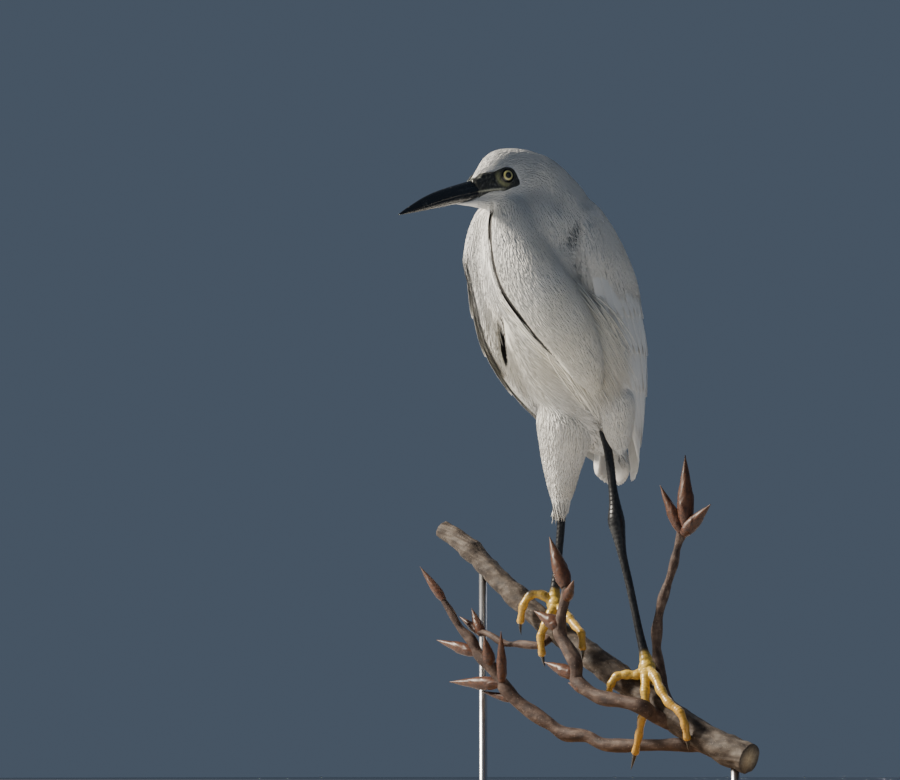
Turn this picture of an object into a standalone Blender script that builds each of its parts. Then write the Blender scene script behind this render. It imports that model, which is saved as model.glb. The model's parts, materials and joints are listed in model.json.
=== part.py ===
"""A little egret at rest on a cut length of budding branch, held on a plain display stand.

The bird stands upright with its neck drawn in, head turned a little to its right, and one foot higher
than the other on the sloping branch. Lengths in the tables are millimetres in the bird's own frame:
x to the bird's left, y to its back, z up, with the origin between the feet on the body's middle plane.
The empty named bird_frame places that frame over the base.
"""

import math

import bmesh
import bpy
import numpy as np

MM = 0.001

# Clearance that two touching pieces keep.
GAP = 0.3

# Display stand.
BASE_LENGTH = 300.0
BASE_DEPTH = 220.0
BASE_THICKNESS = 16.0
BASE_CORNER = 3.0
BASE_TOP = -111.0
BASE_CENTRE = (8.0, -25.0)
ROD_RADIUS = 3.2
ROD_FOOTPRINT = {"stand_rod_high": (-100.0, 1.6), "stand_rod_low": (141.0, -0.5)}
ROD_REACH = 6.0

# Torso: height, half width, front, back.
TORSO = (
    (143.0, 5.0, 26.0, 37.0),
    (148.0, 15.0, 10.0, 42.0),
    (163.0, 29.0, -18.0, 44.0),
    (185.0, 38.0, -40.0, 43.0),
    (211.0, 40.0, -62.0, 40.5),
    (238.0, 42.0, -80.0, 35.5),
    (265.0, 46.0, -94.0, 24.5),
    (292.0, 47.0, -98.0, 8.0),
    (312.0, 43.0, -93.0, -9.0),
    (326.0, 34.0, -86.0, -22.0),
    (336.0, 22.0, -79.0, -34.0),
    (340.0, 8.0, -70.0, -48.0),
)
TORSO_RINGS = 16
TORSO_SIDES = 20
ROUNDNESS = 0.93

# Outer surface that the folded wings follow: height, half width, front, back.
WING_SURFACE = (
    (100.0, 5.0, 48.0, 60.0),
    (118.0, 13.0, 36.0, 59.5),
    (135.0, 23.5, 10.0, 58.5),
    (150.0, 32.0, -18.0, 57.0),
    (168.0, 41.0, -36.0, 55.0),
    (188.0, 50.5, -62.0, 52.5),
    (211.0, 57.5, -86.0, 50.5),
    (230.0, 60.5, -99.0, 47.5),
    (250.0, 62.0, -106.0, 41.0),
    (272.0, 63.0, -109.0, 32.5),
    (292.0, 61.0, -112.0, 20.5),
    (315.0, 53.5, -108.0, 4.0),
    (333.0, 43.0, -99.0, -13.0),
    (345.0, 30.0, -92.0, -27.0),
    (353.0, 13.0, -82.0, -43.0),
)
# Edges of the folded wing from shoulder to tip: angle round the body from the breast, height.
WING_LEADING_EDGE = (
    (90.0, 338.0),
    (78.0, 316.0),
    (68.0, 288.0),
    (66.5, 260.0),
    (71.0, 232.0),
    (74.0, 208.0),
    (77.0, 190.0),
    (84.0, 170.0),
    (105.0, 148.0),
    (146.0, 124.0),
)
FAR_WING_LEADING_EDGE = (
    (60.0, 341.0),
    (46.0, 322.0),
    (43.0, 294.0),
    (44.0, 264.0),
    (45.0, 236.0),
    (43.0, 212.0),
    (45.0, 190.0),
    (60.0, 168.0),
    (100.0, 147.0),
    (146.0, 126.0),
)
WING_BACK_EDGE = (
    (150.0, 342.0),
    (172.0, 324.0),
    (177.5, 297.0),
    (178.5, 263.0),
    (178.5, 229.0),
    (178.0, 192.0),
    (176.0, 156.0),
    (171.0, 122.0),
)
WING_CORE_END = 0.84
WING_CORE_TOP = -4.6
WING_PLATE = 3.2
WING_CLEARANCE = 1.5
WING_CORE_ROWS = 10
WING_CORE_COLUMNS = 7
WING_NOSE = 5.0
WING_NOSE_REACH = 0.12
# Tiers of wing feathers: count, root and mean tip along the wing, spread of the tips.
WING_TIERS = (
    (6, 0.71, 0.980, 0.050),
    (7, 0.53, 0.800, 0.045),
    (7, 0.33, 0.590, 0.030),
    (7, 0.12, 0.390, 0.030),
)
VANE_STATIONS = (0.0, 0.34, 0.82, 1.0)
VANE_WIDTHS = (0.85, 1.0, 0.90, 0.18)
VANE_RISE = (-2.2, 1.8, 3.2, 3.9)
VANE_TILT = 0.6
VANE_THICKNESS = 0.8
VANE_BAND = (0.05, 0.995)
VANE_OVERLAP = 1.16
# The share across a tier where its feathers are longest, and how fast they shorten from there.
TIER_LONGEST = 0.62
TIER_ARCH = 1.5
# Fall of the wing's plate towards the shoulder: the share along it where it starts, millimetres per share.
SHOULDER_START = 0.08
SHOULDER_FALL = 30.0
# Heights between which the wing's inner side follows the body, and how far it blends in at each end.
LINING_LOW = (152.0, 20.0)
LINING_HIGH = (332.0, 14.0)
LINING_RANGE = (150.0, 330.0)
CORE_BUNCHING = 1.35

# Lanceolate plumes at the foot of the neck: angle and height of the roots and of the tips.
PLUMES = 8
PLUME_ROOTS = ((33.0, 57.0), (236.0, 266.0))
PLUME_TIPS = ((58.0, 90.0), (186.0, 206.0))
PLUME_STATIONS = (0.0, 0.4, 0.75, 1.0)
PLUME_LIFT = (-16.0, 4.0, 4.0, 2.0)
PLUME_HALF_ANGLE = 5.0
PLUME_WIDTHS = (7.0, 11.0, 7.5, 1.0)
PLUME_THICKNESS = (2.6, 2.2, 1.4, 0.5)

# Tail: root and tip of the middle plane, spread of the fan, feather sizes.
TAIL_STEM = ((-4.0, 5.0), (6.0, 7.0), (18.0, 5.0), (26.0, 2.0))
TAIL_FEATHERS = 10
TAIL_ROOT = (0.0, 31.0, 172.0)
TAIL_LENGTH = 53.0
TAIL_LEAN = 13.0
TAIL_FAN = 15.0
TAIL_FEATHER_WIDTH = 11.0
TAIL_THICKNESS = 0.9
TAIL_STATIONS = (0.0, 0.4, 0.75, 0.92, 1.0)
TAIL_WIDTHS = (0.55, 1.0, 1.0, 0.72, 0.2)
TAIL_ROOT_SPREAD = 4.0
TAIL_OUTER_SHORTER = 0.16
TAIL_MIDDLE_HEIGHT = 1.6
TAIL_STEP_DOWN = 4.2
TAIL_BOW = 1.0

# Lower neck, folded against the left of the breast: x, y, z, radius.
NECK_LOWER = (
    (-8.0, -80.0, 332.0, 10.0),
    (-3.4, -84.0, 322.0, 16.0),
    (2.4, -87.0, 307.5, 20.0),
    (9.0, -88.0, 290.5, 23.0),
    (17.0, -86.0, 270.5, 25.5),
    (27.5, -80.0, 251.5, 26.0),
    (38.0, -72.0, 232.5, 24.0),
    (44.5, -62.0, 214.0, 19.0),
    (47.0, -51.0, 196.0, 12.0),
    (47.0, -42.0, 182.5, 4.0),
)
# Upper neck, from the back of the head down to the shoulders: x, y, z, radius.
NECK_UPPER = (
    (-5.5, -66.0, 357.0, 13.0),
    (-3.0, -60.0, 352.0, 21.0),
    (1.0, -53.0, 340.0, 26.5),
    (5.0, -48.0, 324.0, 33.0),
    (6.0, -46.0, 306.0, 34.0),
)

# Head frame: the point between the eyes, the turn to the bird's right and the tilt down.
HEAD_CENTRE = (-9.5, -94.2, 345.5)
HEAD_TURN = 7.0
HEAD_TILT = 16.0
# Head: forward of the eyes, half width, top, bottom.
HEAD = (
    (29.0, 3.6, 2.8, -10.5),
    (21.0, 6.4, 6.0, -16.5),
    (12.0, 9.8, 12.0, -20.8),
    (4.0, 13.0, 17.5, -23.6),
    (-6.0, 15.8, 20.8, -25.6),
    (-18.0, 18.2, 21.0, -27.0),
    (-30.0, 19.2, 18.6, -27.5),
    (-42.0, 17.6, 14.4, -25.5),
    (-52.0, 12.5, 7.5, -20.0),
    (-57.0, 5.5, 0.5, -12.0),
)
# Feathered chin below the lower bill: forward of the eyes, half width, top, bottom.
CHIN = (
    (47.0, 1.2, -10.8, -12.6),
    (38.0, 3.0, -10.0, -14.6),
    (27.0, 5.2, -9.0, -17.6),
    (15.0, 8.0, -9.0, -21.4),
    (2.0, 9.5, -9.0, -24.4),
    (-6.0, 5.0, -12.0, -22.0),
)
# Bill: forward of the eyes, half width, culmen, mouth line, lower edge.
BILL = (
    (13.0, 6.3, 3.0, -6.7, -12.9),
    (20.0, 6.2, 2.9, -6.5, -13.0),
    (34.0, 5.6, 2.4, -6.1, -12.6),
    (48.0, 5.0, 1.7, -6.0, -11.9),
    (63.0, 4.2, 0.6, -6.6, -11.6),
    (76.0, 3.4, -1.4, -7.6, -11.3),
    (87.0, 2.5, -4.1, -8.5, -10.9),
    (97.0, 1.5, -6.9, -9.2, -10.5),
    (104.0, 0.6, -9.2, -9.75, -10.1),
)
BILL_ROWS = 10
BILL_SIDES = 10
# Section of a mandible: keel power, narrowing to the keel, width of the lower half and of the flat side.
BILL_KEEL = 0.8
BILL_NARROWING = 0.25
BILL_LOWER_SHARE = 0.92
BILL_FLAT_SHARE = 0.97
NOSTRIL_FORWARD = 31.0
NOSTRIL_SIDE = 5.4
NOSTRIL_HEIGHT = -0.6
NOSTRIL_SLOPE = 0.25
NOSTRIL_LENGTH = 4.6
# Nostril slit: share of its length either way, radius.
NOSTRIL_PROFILE = ((-1.0, 0.25), (-0.5, 0.75), (0.5, 0.75), (1.0, 0.25))
GAPE = ((16.0, 8.6, -6.7), (8.0, 11.6, -6.8), (0.0, 14.2, -7.2), (-3.0, 15.2, -7.6))
GAPE_DEPTHS = (4.0, 3.4, 2.8, 1.2)
GAPE_WIDTHS = (0.7, 0.7, 0.7, 0.5)
EYE_RADIUS = 7.0
EYE_SIDE = 9.6
LID_RADIUS = 4.6
LID_THICKNESS = 0.95
LID_SIDE = 14.6

# Feathered thighs: x, y, z, radius.
THIGHS = {
    "left": (
        (35.0, -8.0, 193.0, 12.0),
        (35.0, -4.0, 181.5, 15.0),
        (33.0, 1.0, 167.0, 13.5),
        (32.0, 4.0, 155.5, 10.5),
        (32.0, 5.5, 147.5, 7.5),
        (32.5, 6.5, 143.0, 4.5),
    ),
    "right": (
        (-4.5, -14.0, 183.5, 15.0),
        (-7.0, -11.0, 172.5, 22.5),
        (-10.0, -8.0, 159.5, 22.0),
        (-16.5, -3.0, 142.5, 17.5),
        (-20.0, 0.0, 127.5, 13.5),
        (-21.5, 1.5, 116.0, 10.5),
        (-22.5, 2.0, 107.5, 7.5),
    ),
}
THIGH_LOCKS = 7
THIGH_LOCK_LENGTH = {"left": 19.0, "right": 26.0}
THIGH_LOCK_STATIONS = (0.0, 0.4, 0.75, 1.0)
THIGH_LOCK_WIDTHS = (7.0, 6.2, 3.8, 0.9)
THIGH_LOCK_DEPTHS = (2.4, 1.8, 1.1, 0.5)
# Shares of the hem's radius: where a lock is rooted and how far its tip is drawn in.
THIGH_LOCK_ROOT = 0.80
THIGH_LOCK_GATHER = 0.28
THIGH_LOCK_BOW = 1.2
THIGH_LOCK_UNEVEN = 0.18

# Bare legs from inside the thigh to the ankle: x, y, z, radius.
SHANKS = {
    "left": (
        (18.5, 0.0, 169.0, 3.2),
        (21.0, 0.0, 157.0, 3.4),
        (24.5, 0.0, 146.0, 3.4),
        (28.5, -1.0, 127.0, 3.3),
        (30.5, -1.4, 113.5, 3.4),
        (32.5, -1.7, 102.0, 4.5),
        (34.0, -2.0, 89.5, 6.5),
        (36.5, -2.0, 78.0, 5.0),
        (39.5, -1.8, 63.5, 3.4),
        (46.0, -1.4, 39.5, 3.0),
        (53.5, -1.2, 9.0, 3.0),
        (58.5, -1.4, -8.5, 3.6),
        (61.0, -1.6, -16.0, 5.0),
    ),
    "right": (
        (-22.0, 5.5, 158.0, 3.4),
        (-22.5, 6.0, 148.0, 4.5),
        (-23.0, 6.0, 138.0, 6.5),
        (-23.0, 5.0, 126.0, 5.0),
        (-23.5, 4.5, 114.0, 3.5),
        (-23.5, 3.4, 90.0, 3.2),
        (-25.0, 1.0, 60.0, 3.1),
        (-26.0, -1.0, 42.0, 3.6),
        (-26.0, -1.6, 33.5, 4.5),
    ),
}
ANKLES = {"left": (62.2, -2.0, -21.6), "right": (-25.5, -2.0, 27.6)}
ANKLE_RADII = (6.6, 6.2, 6.8)
TOE_ROOT_RADIUS = 4.0
TOE_TIP_RADIUS = 2.7
TOE_JOINT_SWELL = 0.35
TOES = {
    "left": {
        "inner": (
            (56.5, -6.0, -27.0),
            (49.0, -10.0, -27.0),
            (42.5, -14.0, -28.5),
            (39.0, -16.0, -34.0),
            (35.5, -15.0, -42.0),
        ),
        "middle": (
            (66.0, -9.0, -29.0),
            (70.0, -15.0, -39.5),
            (71.5, -17.0, -50.5),
            (67.5, -16.0, -60.5),
            (63.0, -13.5, -72.0),
            (57.5, -11.0, -85.0),
        ),
        "outer": (
            (74.0, -8.0, -29.0),
            (83.0, -13.0, -39.0),
            (92.5, -16.0, -48.5),
            (103.0, -16.5, -55.5),
            (107.0, -16.0, -65.0),
            (107.5, -14.0, -74.5),
        ),
        "hind": ((58.0, 7.0, -22.0), (53.5, 14.5, -29.0), (50.5, 15.5, -40.0)),
    },
    "right": {
        "inner": (
            (-14.5, -5.0, 22.0),
            (-8.0, -7.0, 17.0),
            (0.2, -9.5, 10.5),
            (8.5, -13.0, 4.5),
            (11.5, -15.5, -6.5),
        ),
        "middle": ((-23.0, -10.0, 21.0), (-25.0, -15.0, 11.5), (-28.0, -16.5, 2.6), (-28.0, -15.0, -10.5)),
        "outer": ((-33.5, -7.0, 35.0), (-41.5, -12.0, 35.0), (-46.5, -15.0, 26.5), (-49.5, -14.5, 15.0)),
        "hind": ((-29.0, 7.0, 28.0), (-33.5, 13.5, 22.0), (-36.0, 15.0, 11.0)),
    },
}
CLAW_TIPS = {
    "left": {
        "inner": (32.0, -11.5, -51.0),
        "middle": (51.0, -8.0, -98.0),
        "outer": (106.0, -10.5, -83.5),
        "hind": (49.0, 12.0, -51.0),
    },
    "right": {
        "inner": (10.0, -14.0, -16.0),
        "middle": (-27.0, -12.5, -20.5),
        "outer": (-51.5, -11.0, 5.0),
        "hind": (-37.0, 11.5, 0.0),
    },
}
CLAW_ROWS = 5
CLAW_SUNK = 1.5
CLAW_BEND = 0.45
CLAW_TAPER = 0.8
CLAW_POINT = 0.2
CLAW_RADIUS = 2.2

# Branch and its side twigs: x, y, z, radius.
BRANCH = (
    (-142.0, 2.6, 91.0, 7.0),
    (-117.0, 2.0, 76.0, 8.0),
    (-75.5, 1.0, 43.0, 8.5),
    (-35.5, 0.0, 13.5, 9.0),
    (13.0, 0.0, -15.5, 10.0),
    (47.5, 0.0, -36.0, 10.0),
    (78.5, 0.0, -55.0, 10.5),
    (109.0, 0.0, -72.0, 11.0),
    (131.5, 0.0, -82.0, 11.0),
    (154.0, -1.0, -89.5, 11.5),
)
BRANCH_ROWS = 24
# Unevenness of a twig's radius, and how far its wave turns from row to row.
TWIG_KNOB = 0.45
TWIG_KNOB_TURN = 2.1
BRANCH_SWELLINGS = ((-112.0, 1.5, 5.0), (-66.0, 1.3, 6.0), (30.0, 0.8, 8.0), (136.0, 1.2, 7.0))
TWIGS = {
    "twig_front": (
        (84.0, -3.0, -62.5, 6.0),
        (78.0, -14.0, -58.0, 6.0),
        (73.5, -26.0, -51.0, 5.5),
        (57.0, -29.0, -47.0, 5.5),
        (39.0, -30.0, -44.0, 5.5),
        (26.5, -30.0, -38.5, 5.5),
        (16.5, -29.0, -31.0, 5.5),
        (15.5, -29.0, -19.0, 5.5),
        (6.0, -28.0, -5.5, 5.5),
        (-1.1, -27.0, 4.5, 5.0),
        (0.6, -27.0, 19.5, 4.5),
        (5.5, -27.0, 35.5, 3.8),
        (3.9, -27.0, 46.5, 3.4),
    ),
    "twig_upright": (
        (79.0, 4.0, -52.0, 5.0),
        (68.0, 10.0, -38.5, 5.0),
        (61.5, 13.0, -18.5, 4.5),
        (60.0, 13.0, -3.3, 4.0),
        (62.0, 12.0, 11.5, 4.0),
        (66.5, 11.0, 26.5, 3.8),
        (71.5, 11.0, 39.0, 3.6),
        (77.5, 11.0, 54.0, 3.4),
        (81.0, 11.0, 66.5, 3.3),
        (85.5, 11.0, 78.5, 3.4),
        (88.0, 11.0, 87.0, 3.2),
    ),
    "twig_lower": (
        (123.5, 0.0, -83.0, 6.0),
        (106.0, 4.0, -80.0, 5.5),
        (92.5, 6.0, -79.5, 5.0),
        (55.0, 6.5, -79.5, 5.0),
        (18.5, 5.0, -79.5, 5.0),
        (0.9, 3.0, -73.0, 5.0),
        (-20.0, 1.0, -70.5, 5.5),
        (-34.5, -1.0, -62.0, 5.5),
        (-52.0, -4.0, -51.5, 5.5),
        (-65.5, -8.0, -40.0, 5.5),
        (-73.5, -10.0, -29.5, 5.0),
        (-81.0, -13.0, -18.0, 5.0),
        (-90.5, -16.0, -9.0, 5.0),
        (-95.5, -18.0, 1.6, 4.0),
        (-104.5, -21.0, 11.0, 3.4),
        (-112.5, -24.0, 25.0, 2.8),
        (-120.0, -27.0, 37.0, 2.6),
    ),
    "twig_side": (
        (-29.0, -3.0, 3.6, 3.6),
        (-31.5, -13.0, -3.4, 3.2),
        (-51.0, -13.0, -2.2, 2.8),
        (-66.5, -12.5, -1.4, 2.6),
        (-82.0, -12.0, 5.5, 2.8),
        (-92.0, -12.0, 8.0, 2.9),
    ),
}
# Buds on each twig: base, tip, radius.
BUDS = {
    "twig_front": (
        ((5.0, -27.0, 39.5), (-10.5, -27.5, 78.0), 6.0),
        ((5.0, -27.0, 29.5), (17.0, -33.0, 44.0), 3.8),
        ((16.5, -29.0, -28.0), (-14.0, -30.0, -17.0), 5.0),
        ((28.5, -30.0, -38.5), (10.5, -32.0, -33.0), 4.5),
        ((0.9, -27.0, 8.5), (-23.0, -31.0, 22.0), 5.5),
    ),
    "twig_upright": (
        ((89.5, 11.0, 83.5), (89.5, 11.0, 137.5), 6.0),
        ((86.5, 10.0, 79.5), (69.5, 6.0, 115.5), 4.5),
        ((87.5, 10.0, 78.0), (112.0, 12.0, 99.5), 5.0),
    ),
    "twig_lower": (
        ((-117.0, -26.0, 33.0), (-138.0, -30.0, 59.5), 3.5),
        ((-92.0, -17.0, -8.5), (-128.5, -21.0, 2.2), 4.5),
        ((-73.0, -11.0, -32.5), (-119.5, -16.0, -30.5), 5.0),
        ((-63.0, -7.0, -45.0), (-92.5, -10.0, -38.0), 2.9),
        ((-70.0, -12.0, -31.0), (-64.0, -20.5, 7.5), 3.9),
        ((-79.5, -14.0, -18.0), (-79.5, -22.0, 3.8), 4.5),
    ),
    "twig_side": (
        ((-90.0, -12.0, 5.5), (-102.0, -10.0, 26.5), 4.0),
        ((-90.0, -12.0, 6.5), (-113.5, -11.0, 20.5), 3.3),
    ),
}
BUD_STATIONS = (0.0, 0.18, 0.42, 0.74, 1.0)
BUD_WIDTHS = (0.55, 0.94, 1.0, 0.58, 0.06)

COLOURS = {
    "plumage": ((0.86, 0.85, 0.82), 0.85),
    "bill": ((0.02, 0.02, 0.022), 0.32),
    "iris": ((0.82, 0.76, 0.28), 0.12),
    "black_leg": ((0.015, 0.016, 0.018), 0.38),
    "yellow_foot": ((0.66, 0.50, 0.10), 0.5),
    "claw": ((0.03, 0.027, 0.022), 0.35),
    "bark": ((0.17, 0.11, 0.075), 0.75),
    "stand_wood": ((0.33, 0.22, 0.13), 0.5),
    "stand_steel": ((0.55, 0.55, 0.56), 0.3),
}
METALS = {"stand_steel"}


def clear_scene():
    """Removes every object that the file opened with."""
    for obj in list(bpy.data.objects):
        bpy.data.objects.remove(obj)


def new_collection(name):
    """Adds a collection to the scene and returns it."""
    made = bpy.data.collections.new(name)
    bpy.context.scene.collection.children.link(made)
    return made


def make_material(name):
    """Makes the plain finish of that name from the colour table."""
    colour, roughness = COLOURS[name]
    made = bpy.data.materials.new(name)
    made.use_nodes = True
    shader = made.node_tree.nodes["Principled BSDF"]
    shader.inputs["Base Color"].default_value = (*colour, 1.0)
    shader.inputs["Roughness"].default_value = roughness
    shader.inputs["Metallic"].default_value = 1.0 if name in METALS else 0.0
    return made


def smooth_rows(rows, count):
    """Reads a smooth curve through the rows of a table at evenly spaced places."""
    rows = np.asarray(rows, float)
    place = np.linspace(0, len(rows) - 1, count)
    index = np.clip(place.astype(int), 0, len(rows) - 2)
    f = (place - index)[:, None]
    padded = np.vstack([2 * rows[0] - rows[1], rows, 2 * rows[-1] - rows[-2]])
    a, b, c, d = (padded[index + k] for k in range(4))
    return 0.5 * (2 * b + (c - a) * f + (2 * a - 5 * b + 4 * c - d) * f**2 + (3 * b - a - 3 * c + d) * f**3)


def unit(vectors):
    """Vectors scaled to length one."""
    vectors = np.asarray(vectors, float)
    return vectors / np.linalg.norm(vectors, axis=-1, keepdims=True)


def rounded(value):
    """A sine or cosine drawn outwards a little, so that a section is fuller than an ellipse."""
    return np.sign(value) * np.abs(value) ** ROUNDNESS


def make_object(name, points, faces, collection):
    """A mesh object from points in millimetres, with its faces turned outwards."""
    mesh = bpy.data.meshes.new(name)
    mesh.from_pydata([tuple(p) for p in np.asarray(points) * MM], [], [tuple(map(int, f)) for f in faces])
    work = bmesh.new()
    work.from_mesh(mesh)
    bmesh.ops.recalc_face_normals(work, faces=work.faces)
    work.to_mesh(mesh)
    work.free()
    obj = bpy.data.objects.new(name, mesh)
    collection.objects.link(obj)
    return obj


def ring_mesh(name, rings, collection):
    """A closed loft through rings of points, each end closed by a fan round its middle."""
    rings = np.asarray(rings, float)
    count, sides = rings.shape[:2]
    points = np.vstack([rings.reshape(-1, 3), rings[0].mean(0), rings[-1].mean(0)])
    faces = []
    for i in range(count - 1):
        for j in range(sides):
            k = (j + 1) % sides
            faces.append((i * sides + j, i * sides + k, (i + 1) * sides + k, (i + 1) * sides + j))
    first, last = count * sides, count * sides + 1
    for j in range(sides):
        k = (j + 1) % sides
        faces.append((first, k, j))
        faces.append((last, (count - 1) * sides + j, (count - 1) * sides + k))
    return make_object(name, points, faces, collection)


class BodySurface:
    """A body of level sections, each an ellipse-like ring given by its half width, front and back."""

    def __init__(self, table):
        self.rows = smooth_rows(table, 240)
        self.low, self.high = table[0][0], table[-1][0]

    def at(self, angle, height, offset=0.0):
        """The point at an angle in degrees from the breast, a height, and an offset outwards."""
        width, front, back = (np.interp(height, self.rows[:, 0], self.rows[:, k]) for k in (1, 2, 3))
        turn = np.radians(angle)
        x = (width + offset) * rounded(np.sin(turn))
        y = (front + back) / 2 - ((back - front) / 2 + offset) * rounded(np.cos(turn))
        return np.stack(np.broadcast_arrays(x, y, height), axis=-1).astype(float)


def tube(name, rows, collection, resolution=2, points=None):
    """A round tube whose radius changes along it, made as a bevelled curve and turned into a mesh."""
    rows = np.asarray(rows, float) if points is None else smooth_rows(rows, points)
    curve = bpy.data.curves.new(name, "CURVE")
    curve.dimensions = "3D"
    curve.bevel_depth = MM
    curve.bevel_resolution = resolution
    curve.use_fill_caps = True
    spline = curve.splines.new("POLY")
    spline.points.add(len(rows) - 1)
    for point, (x, y, z, radius) in zip(spline.points, rows):
        point.co = (x * MM, y * MM, z * MM, 1.0)
        point.radius = radius
    guide = bpy.data.objects.new(name + "_curve", curve)
    collection.objects.link(guide)
    mesh = bpy.data.meshes.new_from_object(guide.evaluated_get(bpy.context.evaluated_depsgraph_get()))
    bpy.data.objects.remove(guide)
    work = bmesh.new()
    work.from_mesh(mesh)
    bmesh.ops.remove_doubles(work, verts=work.verts, dist=0.01 * MM)
    bmesh.ops.recalc_face_normals(work, faces=work.faces)
    work.to_mesh(mesh)
    work.free()
    obj = bpy.data.objects.new(name, mesh)
    collection.objects.link(obj)
    return obj


def ribbon(name, left, right, normals, thickness, collection):
    """A thin vane between two edges, split into triangles alike on both faces."""
    lower_left = left - normals * thickness[:, None]
    lower_right = right - normals * thickness[:, None]
    count = len(left)
    points = np.concatenate([left, right, lower_left, lower_right])
    a, b, c, d = (np.arange(count) + k * count for k in range(4))
    faces = []
    for i in range(count - 1):
        faces += [(a[i], b[i], b[i + 1]), (a[i], b[i + 1], a[i + 1])]
        faces += [(c[i], d[i + 1], d[i]), (c[i], c[i + 1], d[i + 1])]
        faces += [(a[i], a[i + 1], c[i]), (a[i + 1], c[i + 1], c[i])]
        faces += [(b[i], d[i], b[i + 1]), (b[i + 1], d[i], d[i + 1])]
    for end in (0, count - 1):
        faces += [(a[end], c[end], d[end]), (a[end], d[end], b[end])]
    return make_object(name, points, faces, collection)


def free_lock(name, path, across, widths, thickness, collection):
    """A flat tapered lock along a path, with one direction across it."""
    path = np.asarray(path, float)
    along = unit(np.gradient(path, axis=0))
    across = unit(across - along * (along @ np.asarray(across, float))[:, None])
    normals = unit(np.cross(along, across))
    half = across * np.asarray(widths)[:, None] / 2
    lift = normals * np.asarray(thickness)[:, None] / 2
    return ribbon(name, path - half + lift, path + half + lift, normals, np.asarray(thickness), collection)


def evaluated_mesh(obj):
    """The object's mesh with its modifiers applied."""
    bpy.context.view_layer.update()
    return bpy.data.meshes.new_from_object(obj.evaluated_get(bpy.context.evaluated_depsgraph_get()))


def keep_largest(mesh):
    """Leaves only the closed surface that holds the most volume."""
    work = bmesh.new()
    work.from_mesh(mesh)
    bmesh.ops.triangulate(work, faces=work.faces)
    seen, islands = set(), []
    for start in work.faces:
        if start in seen:
            continue
        island, queue = [], [start]
        seen.add(start)
        while queue:
            face = queue.pop()
            island.append(face)
            for edge in face.edges:
                for other in edge.link_faces:
                    if other not in seen:
                        seen.add(other)
                        queue.append(other)
        islands.append(island)

    def volume(island):
        return sum(f.verts[0].co.dot(f.verts[1].co.cross(f.verts[2].co)) for f in island)

    largest = max(islands, key=volume)
    for island in islands:
        if island is not largest:
            bmesh.ops.delete(work, geom=island, context="FACES")
    work.to_mesh(mesh)
    bmesh.ops.dissolve_degenerate(work, edges=work.edges, dist=0.004 * MM)
    bmesh.ops.triangulate(work, faces=work.faces)
    if all(len(edge.link_faces) == 2 for edge in work.edges):
        work.to_mesh(mesh)
    work.free()


def combine(obj, others, operation, solver="MANIFOLD"):
    """Applies one Boolean of obj with a list of closed meshes and keeps the largest surface."""
    group = new_collection("cutters")
    for other in others:
        for owner in list(other.users_collection):
            owner.objects.unlink(other)
        group.objects.link(other)
        other.hide_render = True
        other.display_type = "WIRE"
    modifier = obj.modifiers.new("combine", "BOOLEAN")
    modifier.operation = operation
    modifier.operand_type = "COLLECTION"
    modifier.collection = group
    modifier.solver = solver
    mesh = evaluated_mesh(obj)
    obj.modifiers.clear()
    keep_largest(mesh)
    obj.data = mesh
    for other in others:
        bpy.data.objects.remove(other)
    bpy.data.collections.remove(group)
    return obj


def fuse(obj, pieces, solver="MANIFOLD"):
    """Joins pieces to obj so that it stays one closed body."""
    return combine(obj, pieces, "UNION", solver) if pieces else obj


def grown(obj, by=GAP):
    """A copy of obj pushed outwards, for cutting what touches it."""
    copy = bpy.data.objects.new(obj.name + "_grown", obj.data.copy())
    bpy.context.scene.collection.objects.link(copy)
    work = bmesh.new()
    work.from_mesh(copy.data)
    work.normal_update()
    moves = [(v, v.normal * by * MM * min(v.calc_shell_factor(), 1.6)) for v in work.verts]
    for vertex, move in moves:
        vertex.co += move
    work.to_mesh(copy.data)
    work.free()
    return copy


def cut(obj, neighbours, by=GAP):
    """Trims obj clear of its neighbours, which stay as they are."""
    return combine(obj, [grown(n, by) for n in neighbours], "DIFFERENCE")


def ellipsoid(name, centre, radii, collection, segments=12, rings=8):
    """A closed ball stretched along the axes."""
    mesh = bpy.data.meshes.new(name)
    work = bmesh.new()
    bmesh.ops.create_uvsphere(work, u_segments=segments, v_segments=rings, radius=1.0)
    for vertex in work.verts:
        vertex.co = [(c + v * r) * MM for c, v, r in zip(centre, vertex.co, radii)]
    work.to_mesh(mesh)
    work.free()
    obj = bpy.data.objects.new(name, mesh)
    collection.objects.link(obj)
    return obj


def head_axes():
    """Forward, left and up of the head in the bird's frame."""
    turn, tilt = math.radians(HEAD_TURN), math.radians(HEAD_TILT)
    forward = np.array([-math.sin(turn) * math.cos(tilt), -math.cos(turn) * math.cos(tilt), -math.sin(tilt)])
    left = np.array([math.cos(turn), -math.sin(turn), 0.0])
    return forward, left, np.cross(left, forward) * -1.0


def in_head(forward, left, up):
    """A place in the head's frame as a point of the bird's frame."""
    f, l, u = head_axes()
    return (
        np.asarray(HEAD_CENTRE)
        + np.multiply.outer(forward, f)
        + np.multiply.outer(left, l)
        + np.multiply.outer(up, u)
    )


def head_loft(name, table, count, sides, collection):
    """A loft along the head of sections given by half width, top and bottom."""
    rows = smooth_rows(table, count)
    turn = np.linspace(0, 2 * math.pi, sides, endpoint=False)
    rings = []
    for forward, half, top, bottom in rows:
        left = half * rounded(np.sin(turn))
        up = (top + bottom) / 2 + (top - bottom) / 2 * rounded(np.cos(turn))
        rings.append(in_head(np.full(sides, forward), left, up))
    return ring_mesh(name, rings, collection)


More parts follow.
